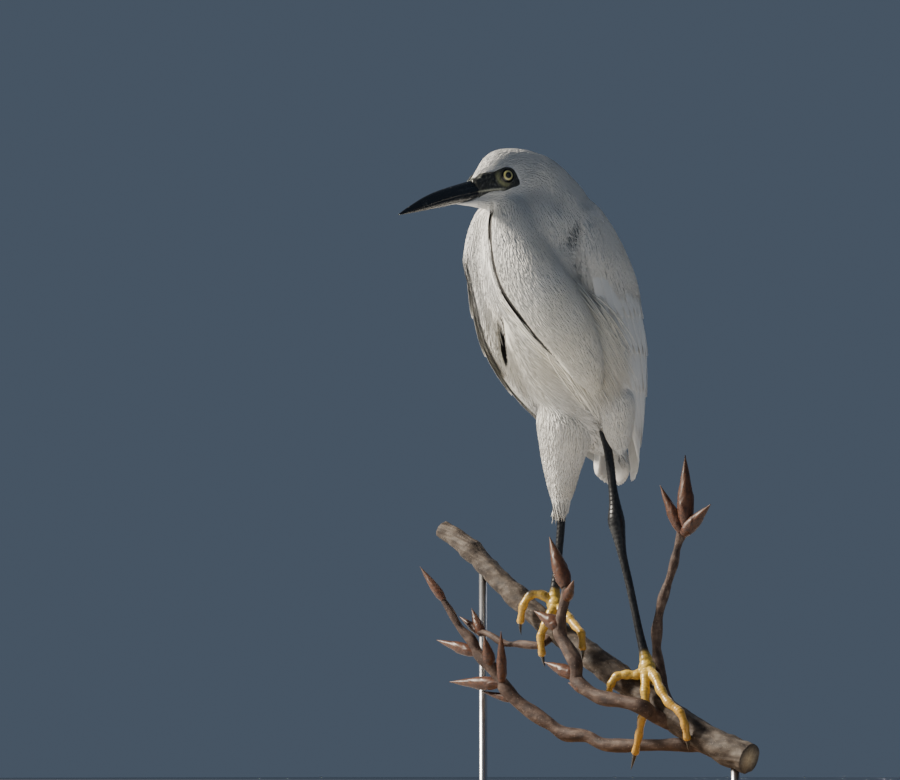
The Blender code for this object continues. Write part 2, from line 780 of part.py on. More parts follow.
def build_torso(parts):
    """The torso, from the vent up to the shoulders."""
    rows = smooth_rows(TORSO, TORSO_RINGS)
    turn = np.linspace(0, 2 * math.pi, TORSO_SIDES, endpoint=False)
    rings = []
    for height, half, front, back in rows:
        x = half * rounded(np.sin(turn))
        y = (front + back) / 2 - (back - front) / 2 * rounded(np.cos(turn))
        rings.append(np.stack([x, y, np.full(TORSO_SIDES, height)], axis=1))
    return ring_mesh("torso", rings, parts)


def build_necks(parts, torso):
    """The folded neck in two lengths, each trimmed where it lies against the body."""
    lower = tube("neck_lower", NECK_LOWER, parts, resolution=5, points=13)
    surface = BodySurface(WING_SURFACE)
    plumes = []
    for k in range(PLUMES):
        share = k / (PLUMES - 1)
        step = np.asarray(PLUME_STATIONS)
        ends = [[low + (high - low) * share for low, high in pair] for pair in (PLUME_ROOTS, PLUME_TIPS)]
        angle, height = (ends[0][i] + (ends[1][i] - ends[0][i]) * step for i in (0, 1))
        path = surface.at(angle, height, np.asarray(PLUME_LIFT))
        sides = [surface.at(angle[1] + turn, height[1]) for turn in (PLUME_HALF_ANGLE, -PLUME_HALF_ANGLE)]
        across = sides[0] - sides[1]
        plumes.append(free_lock("plume", path, across, PLUME_WIDTHS, PLUME_THICKNESS, parts))
    fuse(lower, plumes)
    upper = tube("neck_upper", NECK_UPPER, parts, resolution=5, points=7)
    cut(lower, [torso])
    cut(upper, [torso, lower])
    return lower, upper


def mandible(name, upper, parts):
    """One half of the bill: a keeled section above or below the mouth line."""
    rows = smooth_rows(BILL, BILL_ROWS)
    turn = np.linspace(0, 2 * math.pi, BILL_SIDES, endpoint=False)
    rings = []
    for forward, half, culmen, mouth, lower in rows:
        edge = mouth + GAP / 2 if upper else mouth - GAP / 2
        far = culmen if upper else lower
        lift = np.cos(turn)
        up = edge + (far - edge) * np.clip(lift, 0, None) ** BILL_KEEL
        wide = half * (1.0 if upper else BILL_LOWER_SHARE)
        left = wide * np.sin(turn) * (1.0 - BILL_NARROWING * np.clip(lift, 0, None))
        flat = lift < 0
        up[flat] = edge
        left[flat] = half * BILL_FLAT_SHARE * np.sin(turn[flat])
        rings.append(in_head(np.full(BILL_SIDES, forward), left, up))
    return ring_mesh(name, rings, parts)


def build_bill(parts):
    """The two halves of the bill, with a slit nostril on each side of the upper one."""
    upper = mandible("bill_upper", True, parts)
    lower = mandible("bill_lower", False, parts)
    slits = []
    for side in (-1, 1):
        rows = []
        for place, radius in NOSTRIL_PROFILE:
            forward, up = NOSTRIL_FORWARD + place * NOSTRIL_LENGTH, NOSTRIL_HEIGHT - NOSTRIL_SLOPE * place
            rows.append((*in_head(forward, side * NOSTRIL_SIDE, up), radius))
        slits.append(tube("nostril", rows, parts, resolution=1))
    combine(upper, slits, "DIFFERENCE")
    return upper, lower


def build_eyes(parts):
    """The two eyeballs."""
    eyes = []
    for name, side in (("eye_left", 1), ("eye_right", -1)):
        centre = in_head(0.0, side * EYE_SIDE, 0.0)
        eyes.append(ellipsoid(name, centre, [EYE_RADIUS] * 3, parts, 10, 7))
    return eyes


def build_head(parts, bill, eyes, body):
    """The feathered head with its chin, lids and the corners of the mouth."""
    head = head_loft("head", HEAD, 12, 16, parts)
    pieces = [head_loft("chin", CHIN, 7, 10, parts)]
    for side in (-1, 1):
        turn = np.linspace(0, 2 * math.pi, 11)
        ring = [(LID_RADIUS * math.cos(t) * 1.05, LID_RADIUS * math.sin(t)) for t in turn[:-1]]
        rows = [(*in_head(forward, side * LID_SIDE, up), LID_THICKNESS) for forward, up in ring]
        pieces.append(closed_tube("lid", rows, parts))
    fuse(head, pieces)
    grooves = []
    for side in (-1, 1):
        path = [in_head(forward, side * out, up) for forward, out, up in GAPE]
        across = head_axes()[1] * side
        grooves.append(free_lock("mouth_corner", path, across, GAPE_DEPTHS, GAPE_WIDTHS, parts))
    combine(head, grooves, "DIFFERENCE")
    return cut(head, [*bill, *eyes, *body])


def closed_tube(name, rows, collection):
    """A ring-shaped tube through rows that go once round."""
    rows = np.asarray(rows, float)
    count, sides = len(rows), 5
    centre = rows[:, :3].mean(0)
    along = unit(np.roll(rows[:, :3], -1, 0) - np.roll(rows[:, :3], 1, 0))
    outward = unit(rows[:, :3] - centre)
    axis = unit(np.cross(along, outward))
    turn = np.linspace(0, 2 * math.pi, sides, endpoint=False)
    ring = outward[:, None] * np.cos(turn)[None, :, None] + axis[:, None] * np.sin(turn)[None, :, None]
    points = rows[:, None, :3] + ring * rows[:, 3][:, None, None]
    faces = []
    for i in range(count):
        for j in range(sides):
            n, k = (i + 1) % count, (j + 1) % sides
            faces.append((i * sides + j, i * sides + k, n * sides + k, n * sides + j))
    return make_object(name, points.reshape(-1, 3), faces, collection)


class Wing:
    """A folded wing: a curved plate round the body's side that carries tiers of vanes."""

    def __init__(self, side):
        self.side = side
        self.surface = BodySurface(WING_SURFACE)
        self.body = BodySurface(TORSO)
        self.leading = smooth_rows(WING_LEADING_EDGE if side > 0 else FAR_WING_LEADING_EDGE, 160)
        self.back = smooth_rows(WING_BACK_EDGE, 160)

    def where(self, along, across):
        """Angle round the body and height of a place on the wing."""
        along, across = np.broadcast_arrays(np.asarray(along, float), np.asarray(across, float))
        share = np.linspace(0, 1, len(self.leading))
        lead = [np.interp(along, share, self.leading[:, k]) for k in (0, 1)]
        back = [np.interp(along, share, self.back[:, k]) for k in (0, 1)]
        return lead[0] + (back[0] - lead[0]) * across, lead[1] + (back[1] - lead[1]) * across

    def place(self, along, across, offset):
        """A point on the wing: along from shoulder to tip, across from leading edge to back."""
        angle, height = self.where(along, across)
        nose = WING_NOSE * np.clip(1.0 - np.asarray(across, float) / WING_NOSE_REACH, 0, 1) ** 2
        point = self.surface.at(angle, height, offset - nose)
        point[..., 0] *= self.side
        return point

    def lining(self, along, across, top):
        """The wing's inner side: against the body where there is one, else a thin plate."""
        angle, height = self.where(along, across)
        plate = self.place(along, across, top - WING_PLATE)
        against = self.body.at(angle, np.clip(height, *LINING_RANGE), WING_CLEARANCE)
        against[..., 0] *= self.side
        low = np.clip((height - LINING_LOW[0]) / LINING_LOW[1], 0, 1)
        share = low * np.clip((LINING_HIGH[0] - height) / LINING_HIGH[1], 0, 1)
        return plate + (against - plate) * share[..., None]

    def core(self, parts):
        """The plate between an outer face and an inner face that the body trims."""
        along = np.linspace(0.0, WING_CORE_END, WING_CORE_ROWS)
        across = np.linspace(0.0, 1.0, WING_CORE_COLUMNS) ** CORE_BUNCHING
        along, across = np.meshgrid(along, across, indexing="ij")
        top = WING_CORE_TOP - np.clip(SHOULDER_START - along, 0, 1) * SHOULDER_FALL
        outer = self.place(along, across, top)
        inner = self.lining(along, across, top)
        count, columns = outer.shape[:2]
        points = np.concatenate([outer.reshape(-1, 3), inner.reshape(-1, 3)])
        shift = count * columns
        faces = []
        for i in range(count - 1):
            for j in range(columns - 1):
                a, b = i * columns + j, (i + 1) * columns + j
                faces += [(a, b, b + 1), (a, b + 1, a + 1)]
                faces += [(a + shift, b + 1 + shift, b + shift), (a + shift, a + 1 + shift, b + 1 + shift)]
        rim = list(range(columns))
        rim += [i * columns + columns - 1 for i in range(1, count)]
        rim += [(count - 1) * columns + j for j in range(columns - 2, -1, -1)]
        rim += [i * columns for i in range(count - 2, 0, -1)]
        for k, a in enumerate(rim):
            b = rim[(k + 1) % len(rim)]
            faces += [(a, a + shift, b), (b, a + shift, b + shift)]
        name = "wing_left" if self.side > 0 else "wing_right"
        return make_object(name, points, faces, parts)

    def vane(self, root, tip, across, width, parts):
        """One feather that lies along the wing, its outer edge raised over its neighbour."""
        station = np.asarray(VANE_STATIONS)
        along = root + (tip - root) * station
        half = np.asarray(VANE_WIDTHS) * width / 2
        level = WING_CORE_TOP + np.asarray(VANE_RISE)
        left = self.place(along, np.clip(across - half, 0.02, 1.0), level + VANE_TILT)
        right = self.place(along, np.clip(across + half, 0.0, 1.0), level - VANE_TILT)
        normals = unit(self.place(along, across, level + 1.0) - self.place(along, across, level))
        return ribbon("vane", left, right, normals, np.full(len(station), VANE_THICKNESS), parts)

    def build(self, parts, neighbours):
        """The wing with its tiers of feathers, trimmed where it lies against the body."""
        core = self.core(parts)
        vanes = []
        band = VANE_BAND[1] - VANE_BAND[0]
        for count, root, tip, spread in WING_TIERS:
            for k in range(count):
                share = (k + 0.5) / count
                arch = 1.0 - abs(share - TIER_LONGEST) * TIER_ARCH
                end = tip + spread * (arch - 0.5)
                across = VANE_BAND[0] + band * share
                width = VANE_OVERLAP * band / count
                vanes.append(self.vane(root, end, across, width, parts))
        fuse(core, vanes)
        return cut(core, neighbours)


def build_tail(parts, neighbours):
    """The closed tail: overlapping feathers in a narrow fan, the middle pair on top."""
    lean = math.radians(TAIL_LEAN)
    root = np.array(TAIL_ROOT)
    down = np.array([0.0, math.sin(lean), -math.cos(lean)])
    out = np.array([0.0, math.cos(lean), math.sin(lean)])
    stem = [(*(root + down * along - out), radius) for along, radius in TAIL_STEM]
    tail = tube("tail", stem, parts, resolution=3)
    vanes = []
    for k in range(TAIL_FEATHERS):
        share = (k + 0.5) / TAIL_FEATHERS * 2.0 - 1.0
        spread = math.radians(TAIL_FAN) * share
        direction = down * math.cos(spread) + np.array([math.sin(spread), 0.0, 0.0])
        length = TAIL_LENGTH * (1.0 - TAIL_OUTER_SHORTER * share * share)
        station = np.asarray(TAIL_STATIONS)
        widths = np.asarray(TAIL_WIDTHS) * TAIL_FEATHER_WIDTH
        start = root + np.array([share * TAIL_ROOT_SPREAD, 0.0, 0.0])
        level = out * (TAIL_MIDDLE_HEIGHT - abs(share) * TAIL_STEP_DOWN)
        path = start + np.outer(station * length, direction) + level * station[:, None] ** 0.5
        path += np.outer(np.sin(station * math.pi) * TAIL_BOW, out)
        depth = np.full(len(station), TAIL_THICKNESS)
        vanes.append(free_lock("vane", path, np.array([1.0, 0.0, 0.0]), widths, depth, parts))
    fuse(tail, vanes)
    return cut(tail, neighbours)


def build_thigh(side, parts, shank, body):
    """A feathered thigh with a ragged hem of locks round the bare leg."""
    rows = np.asarray(THIGHS[side], float)
    thigh = tube("thigh_" + side, rows, parts, resolution=4, points=7)
    hem, tip = rows[-3], rows[-1]
    down = unit(tip[:3] - hem[:3])
    across_1 = unit(np.cross(down, (0.0, 1.0, 0.0)))
    across_2 = np.cross(down, across_1)
    locks = []
    for k in range(THIGH_LOCKS):
        turn = 2 * math.pi * (k + 0.5 * (k % 2)) / THIGH_LOCKS
        outward = across_1 * math.cos(turn) + across_2 * math.sin(turn)
        sideways = np.cross(down, outward)
        start = hem[:3] + outward * hem[3] * THIGH_LOCK_ROOT
        length = THIGH_LOCK_LENGTH[side] * (1.0 + THIGH_LOCK_UNEVEN * math.sin(3.0 * turn + 1.0))
        station = np.asarray(THIGH_LOCK_STATIONS)
        inward = outward * (hem[3] * THIGH_LOCK_GATHER)
        path = start + np.outer(station * length, down) - np.outer(station**1.5, inward)
        path += np.outer(np.sin(station * math.pi) * THIGH_LOCK_BOW, outward)
        locks.append(free_lock("lock", path, sideways, THIGH_LOCK_WIDTHS, THIGH_LOCK_DEPTHS, parts))
    fuse(thigh, locks)
    return cut(thigh, [shank, *body])


def toe_rows(side, name):
    """The centre line and radii of a toe, swollen at its joints."""
    points = smooth_rows([ANKLES[side], *TOES[side][name]], 2 * len(TOES[side][name]) + 2)
    share = np.linspace(0, 1, len(points))
    radius = TOE_ROOT_RADIUS + (TOE_TIP_RADIUS - TOE_ROOT_RADIUS) * share
    radius = radius + TOE_JOINT_SWELL * np.cos(2 * math.pi * share * len(TOES[side][name]))
    return np.column_stack([points, radius])


def build_foot(side, parts, shank, perch):
    """The ankle pad and four toes, trimmed to the perch that they grip."""
    foot = ellipsoid("foot_" + side, ANKLES[side], ANKLE_RADII, parts, 10, 6)
    fuse(foot, [tube("toe", toe_rows(side, name), parts, resolution=1) for name in TOES[side]])
    return cut(foot, [shank, *perch])


def build_claws(side, parts, foot, perch):
    """The four claws, each set against the end of its toe."""
    for name, tip in CLAW_TIPS[side].items():
        toe = toe_rows(side, name)
        root, before = toe[-1, :3], toe[-3, :3]
        start = root - unit(root - before) * CLAW_SUNK
        reach = np.linalg.norm(np.asarray(tip) - root)
        bend = root + unit(root - before) * reach * CLAW_BEND
        rows = []
        for t in np.linspace(0, 1, CLAW_ROWS):
            point = (1 - t) ** 2 * start + 2 * t * (1 - t) * bend + t * t * np.asarray(tip)
            rows.append((*point, max(CLAW_RADIUS * (1 - t) ** CLAW_TAPER, CLAW_POINT)))
        claw = tube(f"claw_{side}_{name}", rows, parts, resolution=1)
        cut(claw, [foot, *perch])


def bud(base, tip, radius, parts):
    """A pointed bud from its base to its tip."""
    base, tip = np.asarray(base), np.asarray(tip)
    rows = [(*(base + (tip - base) * s), radius * w) for s, w in zip(BUD_STATIONS, BUD_WIDTHS)]
    return tube("bud", rows, parts, resolution=1)


def build_branch(parts):
    """The cut length of branch, thicker at its nodes."""
    rows = smooth_rows(BRANCH, BRANCH_ROWS)
    for place, height, reach in BRANCH_SWELLINGS:
        rows[:, 3] += height * np.exp(-(((rows[:, 0] - place) / reach) ** 2))
    return tube("branch", rows, parts, resolution=3)


def build_twig(name, parts, branch, grown_with):
    """A side twig with its buds, trimmed to the branch that it grows from."""
    rows = smooth_rows(TWIGS[name], (3 * len(TWIGS[name])) // 2)
    rows[:, 3] += TWIG_KNOB * np.cos(np.arange(len(rows)) * TWIG_KNOB_TURN)
    twig = tube(name, rows, parts, resolution=1)
    fuse(twig, [bud(base, tip, radius, parts) for base, tip, radius in BUDS[name]])
    return cut(twig, [branch, *grown_with])


def build_stand(parts, branch):
    """The flat base and the two rods that carry the branch."""
    bpy.ops.mesh.primitive_cube_add(size=1.0)
    base = bpy.context.active_object
    base.name = base.data.name = "stand_base"
    for owner in list(base.users_collection):
        owner.objects.unlink(base)
    parts.objects.link(base)
    for vertex in base.data.vertices:
        x, y, z = vertex.co
        vertex.co = (x * BASE_LENGTH * MM, y * BASE_DEPTH * MM, z * BASE_THICKNESS * MM)
    base.location = [c * MM for c in (*BASE_CENTRE, BASE_TOP - BASE_THICKNESS / 2)]
    bevel = base.modifiers.new("edges", "BEVEL")
    bevel.width = BASE_CORNER * MM
    bevel.segments = 3
    centre_line = smooth_rows(BRANCH, 80)
    for name, (x, y) in ROD_FOOTPRINT.items():
        height = float(np.interp(x, centre_line[:, 0], centre_line[:, 2])) - ROD_REACH
        mesh = bpy.data.meshes.new(name)
        work = bmesh.new()
        foot = BASE_TOP + GAP
        bmesh.ops.create_cone(
            work,
            cap_ends=True,
            segments=16,
            radius1=ROD_RADIUS * MM,
            radius2=ROD_RADIUS * MM,
            depth=(height - foot) * MM,
        )
        bmesh.ops.translate(work, verts=work.verts, vec=[c * MM for c in (x, y, (height + foot) / 2)])
        work.to_mesh(mesh)
        work.free()
        rod = bpy.data.objects.new(name, mesh)
        parts.objects.link(rod)
        cut(rod, [branch])


def finish_of(name):
    """The finish that a node of this name has."""
    starts = {
        "bill": "bill",
        "eye": "iris",
        "shank": "black_leg",
        "foot": "yellow_foot",
        "claw": "claw",
        "branch": "bark",
        "twig": "bark",
        "stand_base": "stand_wood",
        "stand_rod": "stand_steel",
    }
    return next((finish for start, finish in starts.items() if name.startswith(start)), "plumage")


def main():
    """Builds every node and stands the bird's frame over the base."""
    clear_scene()
    parts = new_collection("little_egret")
    branch = build_branch(parts)
    twigs = []
    for name in TWIGS:
        twigs.append(build_twig(name, parts, branch, twigs))
    build_stand(parts, branch)
    torso = build_torso(parts)
    neck_lower, neck_upper = build_necks(parts, torso)
    bill = build_bill(parts)
    eyes = build_eyes(parts)
    head = build_head(parts, bill, eyes, [torso, neck_lower, neck_upper])
    thighs, shanks = [], []
    for side in ("left", "right"):
        shank = cut(tube("shank_" + side, SHANKS[side], parts, resolution=2, points=18), [torso])
        shanks.append(shank)
        thighs.append(build_thigh(side, parts, shank, [torso]))
        foot = build_foot(side, parts, shank, [branch, *twigs])
        build_claws(side, parts, foot, [branch, *twigs])
    body = [torso, neck_lower, neck_upper, head, *thighs, *shanks]
    left_wing = Wing(1).build(parts, body)
    right_wing = Wing(-1).build(parts, [*body, left_wing])
    build_tail(parts, [torso, left_wing, right_wing, *thighs])
    frame = bpy.data.objects.new("bird_frame", None)
    parts.objects.link(frame)
    frame.location = [c * MM for c in (-BASE_CENTRE[0], -BASE_CENTRE[1], BASE_THICKNESS - BASE_TOP)]
    materials = {name: make_material(name) for name in COLOURS}
    for obj in parts.objects:
        if obj.type != "MESH":
            continue
        obj.parent = frame
        obj.data.materials.clear()
        obj.data.materials.append(materials[finish_of(obj.name)])
        if not obj.name.startswith("stand_"):
            obj.data.shade_smooth()
            obj.data.set_sharp_from_angle(angle=math.radians(40))


main()
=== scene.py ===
"""The little egret dressed: one skin under a coat of feather tufts, folded wings, bill, eyes, legs and perch.

Lengths are millimetres in the bird's own frame (x to its left, y to its back, z up) until a shape
becomes a mesh, when they turn into metres over the middle of the stand's base.
"""

import json
import logging
import math
from dataclasses import dataclass, field
from enum import Enum

import bpy
import numpy as np
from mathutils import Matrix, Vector

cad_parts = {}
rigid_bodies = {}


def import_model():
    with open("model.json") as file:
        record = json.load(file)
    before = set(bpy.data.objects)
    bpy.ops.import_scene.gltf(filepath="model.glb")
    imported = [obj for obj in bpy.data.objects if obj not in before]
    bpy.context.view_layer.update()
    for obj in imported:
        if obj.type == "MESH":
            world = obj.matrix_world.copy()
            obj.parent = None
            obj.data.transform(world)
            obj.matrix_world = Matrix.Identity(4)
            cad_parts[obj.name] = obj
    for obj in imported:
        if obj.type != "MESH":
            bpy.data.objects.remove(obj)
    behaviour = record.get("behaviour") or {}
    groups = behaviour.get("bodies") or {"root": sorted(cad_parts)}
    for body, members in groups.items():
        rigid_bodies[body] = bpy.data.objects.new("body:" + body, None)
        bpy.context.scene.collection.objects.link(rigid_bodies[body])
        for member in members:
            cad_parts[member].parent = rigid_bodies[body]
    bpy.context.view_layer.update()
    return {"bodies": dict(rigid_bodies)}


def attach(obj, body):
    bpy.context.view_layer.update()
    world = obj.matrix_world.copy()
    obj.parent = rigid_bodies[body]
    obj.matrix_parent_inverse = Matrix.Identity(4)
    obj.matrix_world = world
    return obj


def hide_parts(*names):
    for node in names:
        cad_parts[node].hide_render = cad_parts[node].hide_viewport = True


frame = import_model()

LOG = logging.getLogger("egret")
MM = 0.001
BIRD_PLACE = np.array((-8.0, 25.0, 127.0))
Array = np.ndarray

# Torso: height, half width, front, back.
TORSO = (
    (143.0, 5.0, 26.0, 37.0),
    (148.0, 15.0, 10.0, 42.0),
    (163.0, 29.0, -18.0, 44.0),
    (185.0, 38.0, -40.0, 43.0),
    (211.0, 40.0, -62.0, 40.5),
    (238.0, 42.0, -80.0, 35.5),
    (265.0, 46.0, -94.0, 24.5),
    (292.0, 47.0, -98.0, 8.0),
    (312.0, 43.0, -93.0, -9.0),
    (326.0, 34.0, -86.0, -22.0),
    (336.0, 22.0, -79.0, -34.0),
    (340.0, 8.0, -70.0, -48.0),
)
# Outer surface of the folded wings: height, half width, front, back.
WING_SURFACE = (
    (100.0, 5.0, 48.0, 60.0),
    (118.0, 13.0, 36.0, 59.5),
    (135.0, 23.5, 10.0, 58.5),
    (150.0, 32.0, -18.0, 57.0),
    (168.0, 41.0, -36.0, 55.0),
    (188.0, 50.5, -62.0, 52.5),
    (211.0, 57.5, -86.0, 50.5),
    (230.0, 60.5, -99.0, 47.5),
    (250.0, 62.0, -106.0, 41.0),
    (272.0, 63.0, -109.0, 32.5),
    (292.0, 61.0, -112.0, 20.5),
    (315.0, 53.5, -108.0, 4.0),
    (333.0, 43.0, -99.0, -13.0),
    (345.0, 30.0, -92.0, -27.0),
    (353.0, 13.0, -82.0, -43.0),
)
# Edges of a folded wing from shoulder to tip: angle round the body from the breast, height.
WING_EDGE = {
    "left": (
        (90.0, 338.0),
        (78.0, 316.0),
        (68.0, 288.0),
        (66.5, 260.0),
        (71.0, 232.0),
        (74.0, 208.0),
        (77.0, 190.0),
        (84.0, 170.0),
        (105.0, 148.0),
        (146.0, 124.0),
    ),
    "right": (
        (60.0, 341.0),
        (46.0, 322.0),
        (43.0, 294.0),
        (44.0, 264.0),
        (45.0, 236.0),
        (43.0, 212.0),
        (45.0, 190.0),
        (60.0, 168.0),
        (100.0, 147.0),
        (146.0, 126.0),
    ),
}
WING_BACK_EDGE = (
    (150.0, 342.0),
    (172.0, 324.0),
    (177.5, 297.0),
    (178.5, 263.0),
    (178.5, 229.0),
    (178.0, 192.0),
    (176.0, 156.0),
    (171.0, 122.0),
)
# Necks: x, y, z, radius.
NECK_LOWER = (
    (-8.0, -80.0, 332.0, 10.0),
    (-3.4, -84.0, 322.0, 16.0),
    (2.4, -87.0, 307.5, 20.0),
    (9.0, -88.0, 290.5, 23.0),
    (17.0, -86.0, 270.5, 25.5),
    (27.5, -80.0, 251.5, 26.0),
    (38.0, -72.0, 232.5, 24.0),
    (44.5, -62.0, 214.0, 19.0),
    (47.0, -51.0, 196.0, 12.0),
    (47.0, -42.0, 182.5, 4.0),
)
NECK_UPPER = (
    (-5.5, -66.0, 357.0, 13.0),
    (-3.0, -60.0, 352.0, 21.0),
    (1.0, -53.0, 340.0, 26.5),
    (5.0, -48.0, 324.0, 33.0),
    (6.0, -46.0, 306.0, 34.0),
)
# Head frame, then the head and chin: forward of the eyes, half width, top, bottom.
HEAD_CENTRE = (-9.5, -94.2, 345.5)
HEAD_TURN = 7.0
HEAD_TILT = 16.0
HEAD = (
    (29.0, 3.6, 2.8, -10.5),
    (21.0, 6.4, 6.0, -16.5),
    (12.0, 9.8, 12.0, -20.8),
    (4.0, 13.0, 17.5, -23.6),
    (-6.0, 15.8, 20.8, -25.6),
    (-18.0, 18.2, 21.0, -27.0),
    (-30.0, 19.2, 18.6, -27.5),
    (-42.0, 17.6, 14.4, -25.5),
    (-52.0, 12.5, 7.5, -20.0),
    (-57.0, 5.5, 0.5, -12.0),
)
CHIN = (
    (47.0, 1.2, -10.8, -12.6),
    (38.0, 3.0, -10.0, -14.6),
    (27.0, 5.2, -9.0, -17.6),
    (15.0, 8.0, -9.0, -21.4),
    (2.0, 9.5, -9.0, -24.4),
    (-6.0, 5.0, -12.0, -22.0),
)
# Bill: forward of the eyes, half width, culmen, mouth line, lower edge.
BILL = (
    (13.0, 6.3, 3.0, -6.7, -12.9),
    (20.0, 6.2, 2.9, -6.5, -13.0),
    (34.0, 5.6, 2.4, -6.1, -12.6),
    (48.0, 5.0, 1.7, -6.0, -11.9),
    (63.0, 4.2, 0.6, -6.6, -11.6),
    (76.0, 3.4, -1.4, -7.6, -11.3),
    (87.0, 2.5, -4.1, -8.5, -10.9),
    (97.0, 1.5, -6.9, -9.2, -10.5),
    (104.0, 0.6, -9.2, -9.75, -10.1),
)
# Eyeball: radius, middle (forward, to its side, up), turn of its axis forwards and upwards in degrees.
EYE_RADIUS = 6.9
EYE_MIDDLE = (-1.2, 10.1, 0.3)
EYE_TURN = (19.0, 4.0)
# Bare face: forward of the eyes, lower edge, upper edge.
FACE = (
    (40.0, -12.2, 4.0),
    (34.0, -12.4, 4.5),
    (30.0, -12.2, 4.6),
    (25.4, -11.0, 4.9),
    (19.3, -8.6, 4.5),
    (12.8, -8.2, 4.3),
    (7.9, -8.8, 4.9),
    (3.1, -9.6, 5.9),
    (-1.0, -8.8, 6.3),
    (-4.5, -8.4, 5.2),
    (-7.0, -8.4, 2.6),
    (-8.8, -7.4, -4.8),
)
# The line of the mouth behind the bill: forward of the eyes, height.
GAPE = ((3.1, -8.8), (8.0, -8.0), (13.6, -7.2), (19.0, -6.9), (26.0, -6.4), (40.0, -6.0))
# The side that the folds of the plumage face, then the folds: depth, half width, whether it is a narrow
# cut, points on the way. The first lies between neck and breast, the second under the far wing's edge.
FOLD_SIDE = (0.6393, -0.7618, -0.1045)
FOLDS = (
    (
        6.0,
        1.5,
        True,
        (
            (-5.5, -101.5, 324.5),
            (-7.8, -101.9, 311.2),
            (-6.2, -104.0, 300.2),
            (-5.3, -104.3, 290.4),
            (-2.2, -104.2, 275.7),
            (2.4, -103.5, 262.5),
            (9.4, -101.7, 250.0),
            (16.9, -98.1, 238.4),
            (24.0, -90.1, 224.4),
            (30.8, -79.1, 211.0),
            (33.0, -66.0, 199.0),
        ),
    ),
    (6.0, 1.9, True, ((-25.8, -69.0, 243.0), (-27.0, -65.0, 232.0), (-28.8, -60.9, 222.0), (-30.5, -54.4, 207.0))),
    (
        3.6,
        6.5,
        False,
        (
            (38.0, -47.0, 330.0),
            (45.0, -58.2, 317.2),
            (45.9, -63.4, 305.8),
            (42.3, -67.4, 296.0),
            (38.7, -74.7, 291.0),
            (33.0, -83.0, 290.6),
        ),
    ),
)
# Thighs and bare legs: x, y, z, radius.
THIGHS = {
    "left": (
        (35.0, -8.0, 193.0, 12.0),
        (35.0, -4.0, 181.5, 15.0),
        (33.0, 1.0, 167.0, 13.5),
        (32.0, 4.0, 155.5, 10.5),
        (32.0, 5.5, 147.5, 7.5),
        (32.5, 6.5, 143.0, 4.5),
    ),
    "right": (
        (-4.5, -14.0, 183.5, 15.0),
        (-7.0, -11.0, 172.5, 22.5),
        (-10.0, -8.0, 159.5, 22.0),
        (-16.5, -3.0, 142.5, 17.5),
        (-20.0, 0.0, 127.5, 13.5),
        (-21.5, 1.5, 116.0, 10.5),
        (-22.5, 2.0, 107.5, 7.5),
    ),
}
SHANKS = {
    "left": (
        (18.5, 0.0, 169.0, 3.2),
        (21.0, 0.0, 157.0, 3.4),
        (24.5, 0.0, 146.0, 3.4),
        (28.5, -1.0, 127.0, 3.3),
        (30.5, -1.4, 113.5, 3.4),
        (32.5, -1.7, 102.0, 4.5),
        (34.0, -2.0, 89.5, 6.5),
        (36.5, -2.0, 78.0, 5.0),
        (39.5, -1.8, 63.5, 3.4),
        (46.0, -1.4, 39.5, 3.0),
        (53.5, -1.2, 9.0, 3.0),
        (58.5, -1.4, -8.5, 3.6),
        (61.0, -1.6, -16.0, 5.0),
    ),
    "right": (
        (-20.0, 1.5, 158.0, 3.4),
        (-20.5, 2.0, 148.0, 4.2),
        (-21.5, 3.0, 138.0, 5.5),
        (-23.0, 5.0, 126.0, 5.0),
        (-23.5, 4.5, 114.0, 3.5),
        (-23.5, 3.4, 90.0, 3.2),
        (-25.0, 1.0, 60.0, 3.1),
        (-26.0, -1.0, 42.0, 3.6),
        (-26.0, -1.6, 33.5, 4.5),
    ),
}
ANKLES = {"left": (62.2, -2.0, -21.6), "right": (-25.5, -2.0, 27.6)}
TOES = {
    "left": {
        "inner": (
            (56.5, -6.0, -27.0),
            (49.0, -10.0, -27.0),
            (42.5, -14.0, -28.5),
            (39.0, -16.0, -34.0),
            (35.5, -15.0, -42.0),
        ),
        "middle": (
            (66.0, -9.0, -29.0),
            (70.0, -15.0, -39.5),
            (71.5, -17.0, -50.5),
            (67.5, -16.0, -60.5),
            (63.0, -13.5, -72.0),
            (57.5, -11.0, -85.0),
        ),
        "outer": (
            (74.0, -8.0, -29.0),
            (83.0, -13.0, -39.0),
            (92.5, -16.0, -48.5),
            (103.0, -16.5, -55.5),
            (107.0, -16.0, -65.0),
            (107.5, -14.0, -74.5),
        ),
        "hind": ((58.0, 7.0, -22.0), (53.5, 14.5, -29.0), (50.5, 15.5, -40.0)),
    },
    "right": {
        "inner": (
            (-14.5, -5.0, 22.0),
            (-8.0, -7.0, 17.0),
            (0.2, -9.5, 10.5),
            (8.5, -13.0, 4.5),
            (11.5, -15.5, -6.5),
        ),
        "middle": ((-23.0, -10.0, 21.0), (-25.0, -15.0, 11.5), (-28.0, -16.5, 2.6), (-28.0, -15.0, -10.5)),
        "outer": ((-33.5, -7.0, 35.0), (-41.5, -12.0, 35.0), (-46.5, -15.0, 26.5), (-49.5, -14.5, 15.0)),
        "hind": ((-29.0, 7.0, 28.0), (-33.5, 13.5, 22.0), (-36.0, 15.0, 11.0)),
    },
}
CLAW_TIPS = {
    "left": {
        "inner": (32.0, -11.5, -51.0),
        "middle": (51.0, -8.0, -98.0),
        "outer": (106.0, -10.5, -83.5),
        "hind": (49.0, 12.0, -51.0),
    },
    "right": {
        "inner": (10.0, -14.0, -16.0),
        "middle": (-27.0, -12.5, -20.5),
        "outer": (-51.5, -11.0, 5.0),
        "hind": (-37.0, 11.5, 0.0),
    },
}
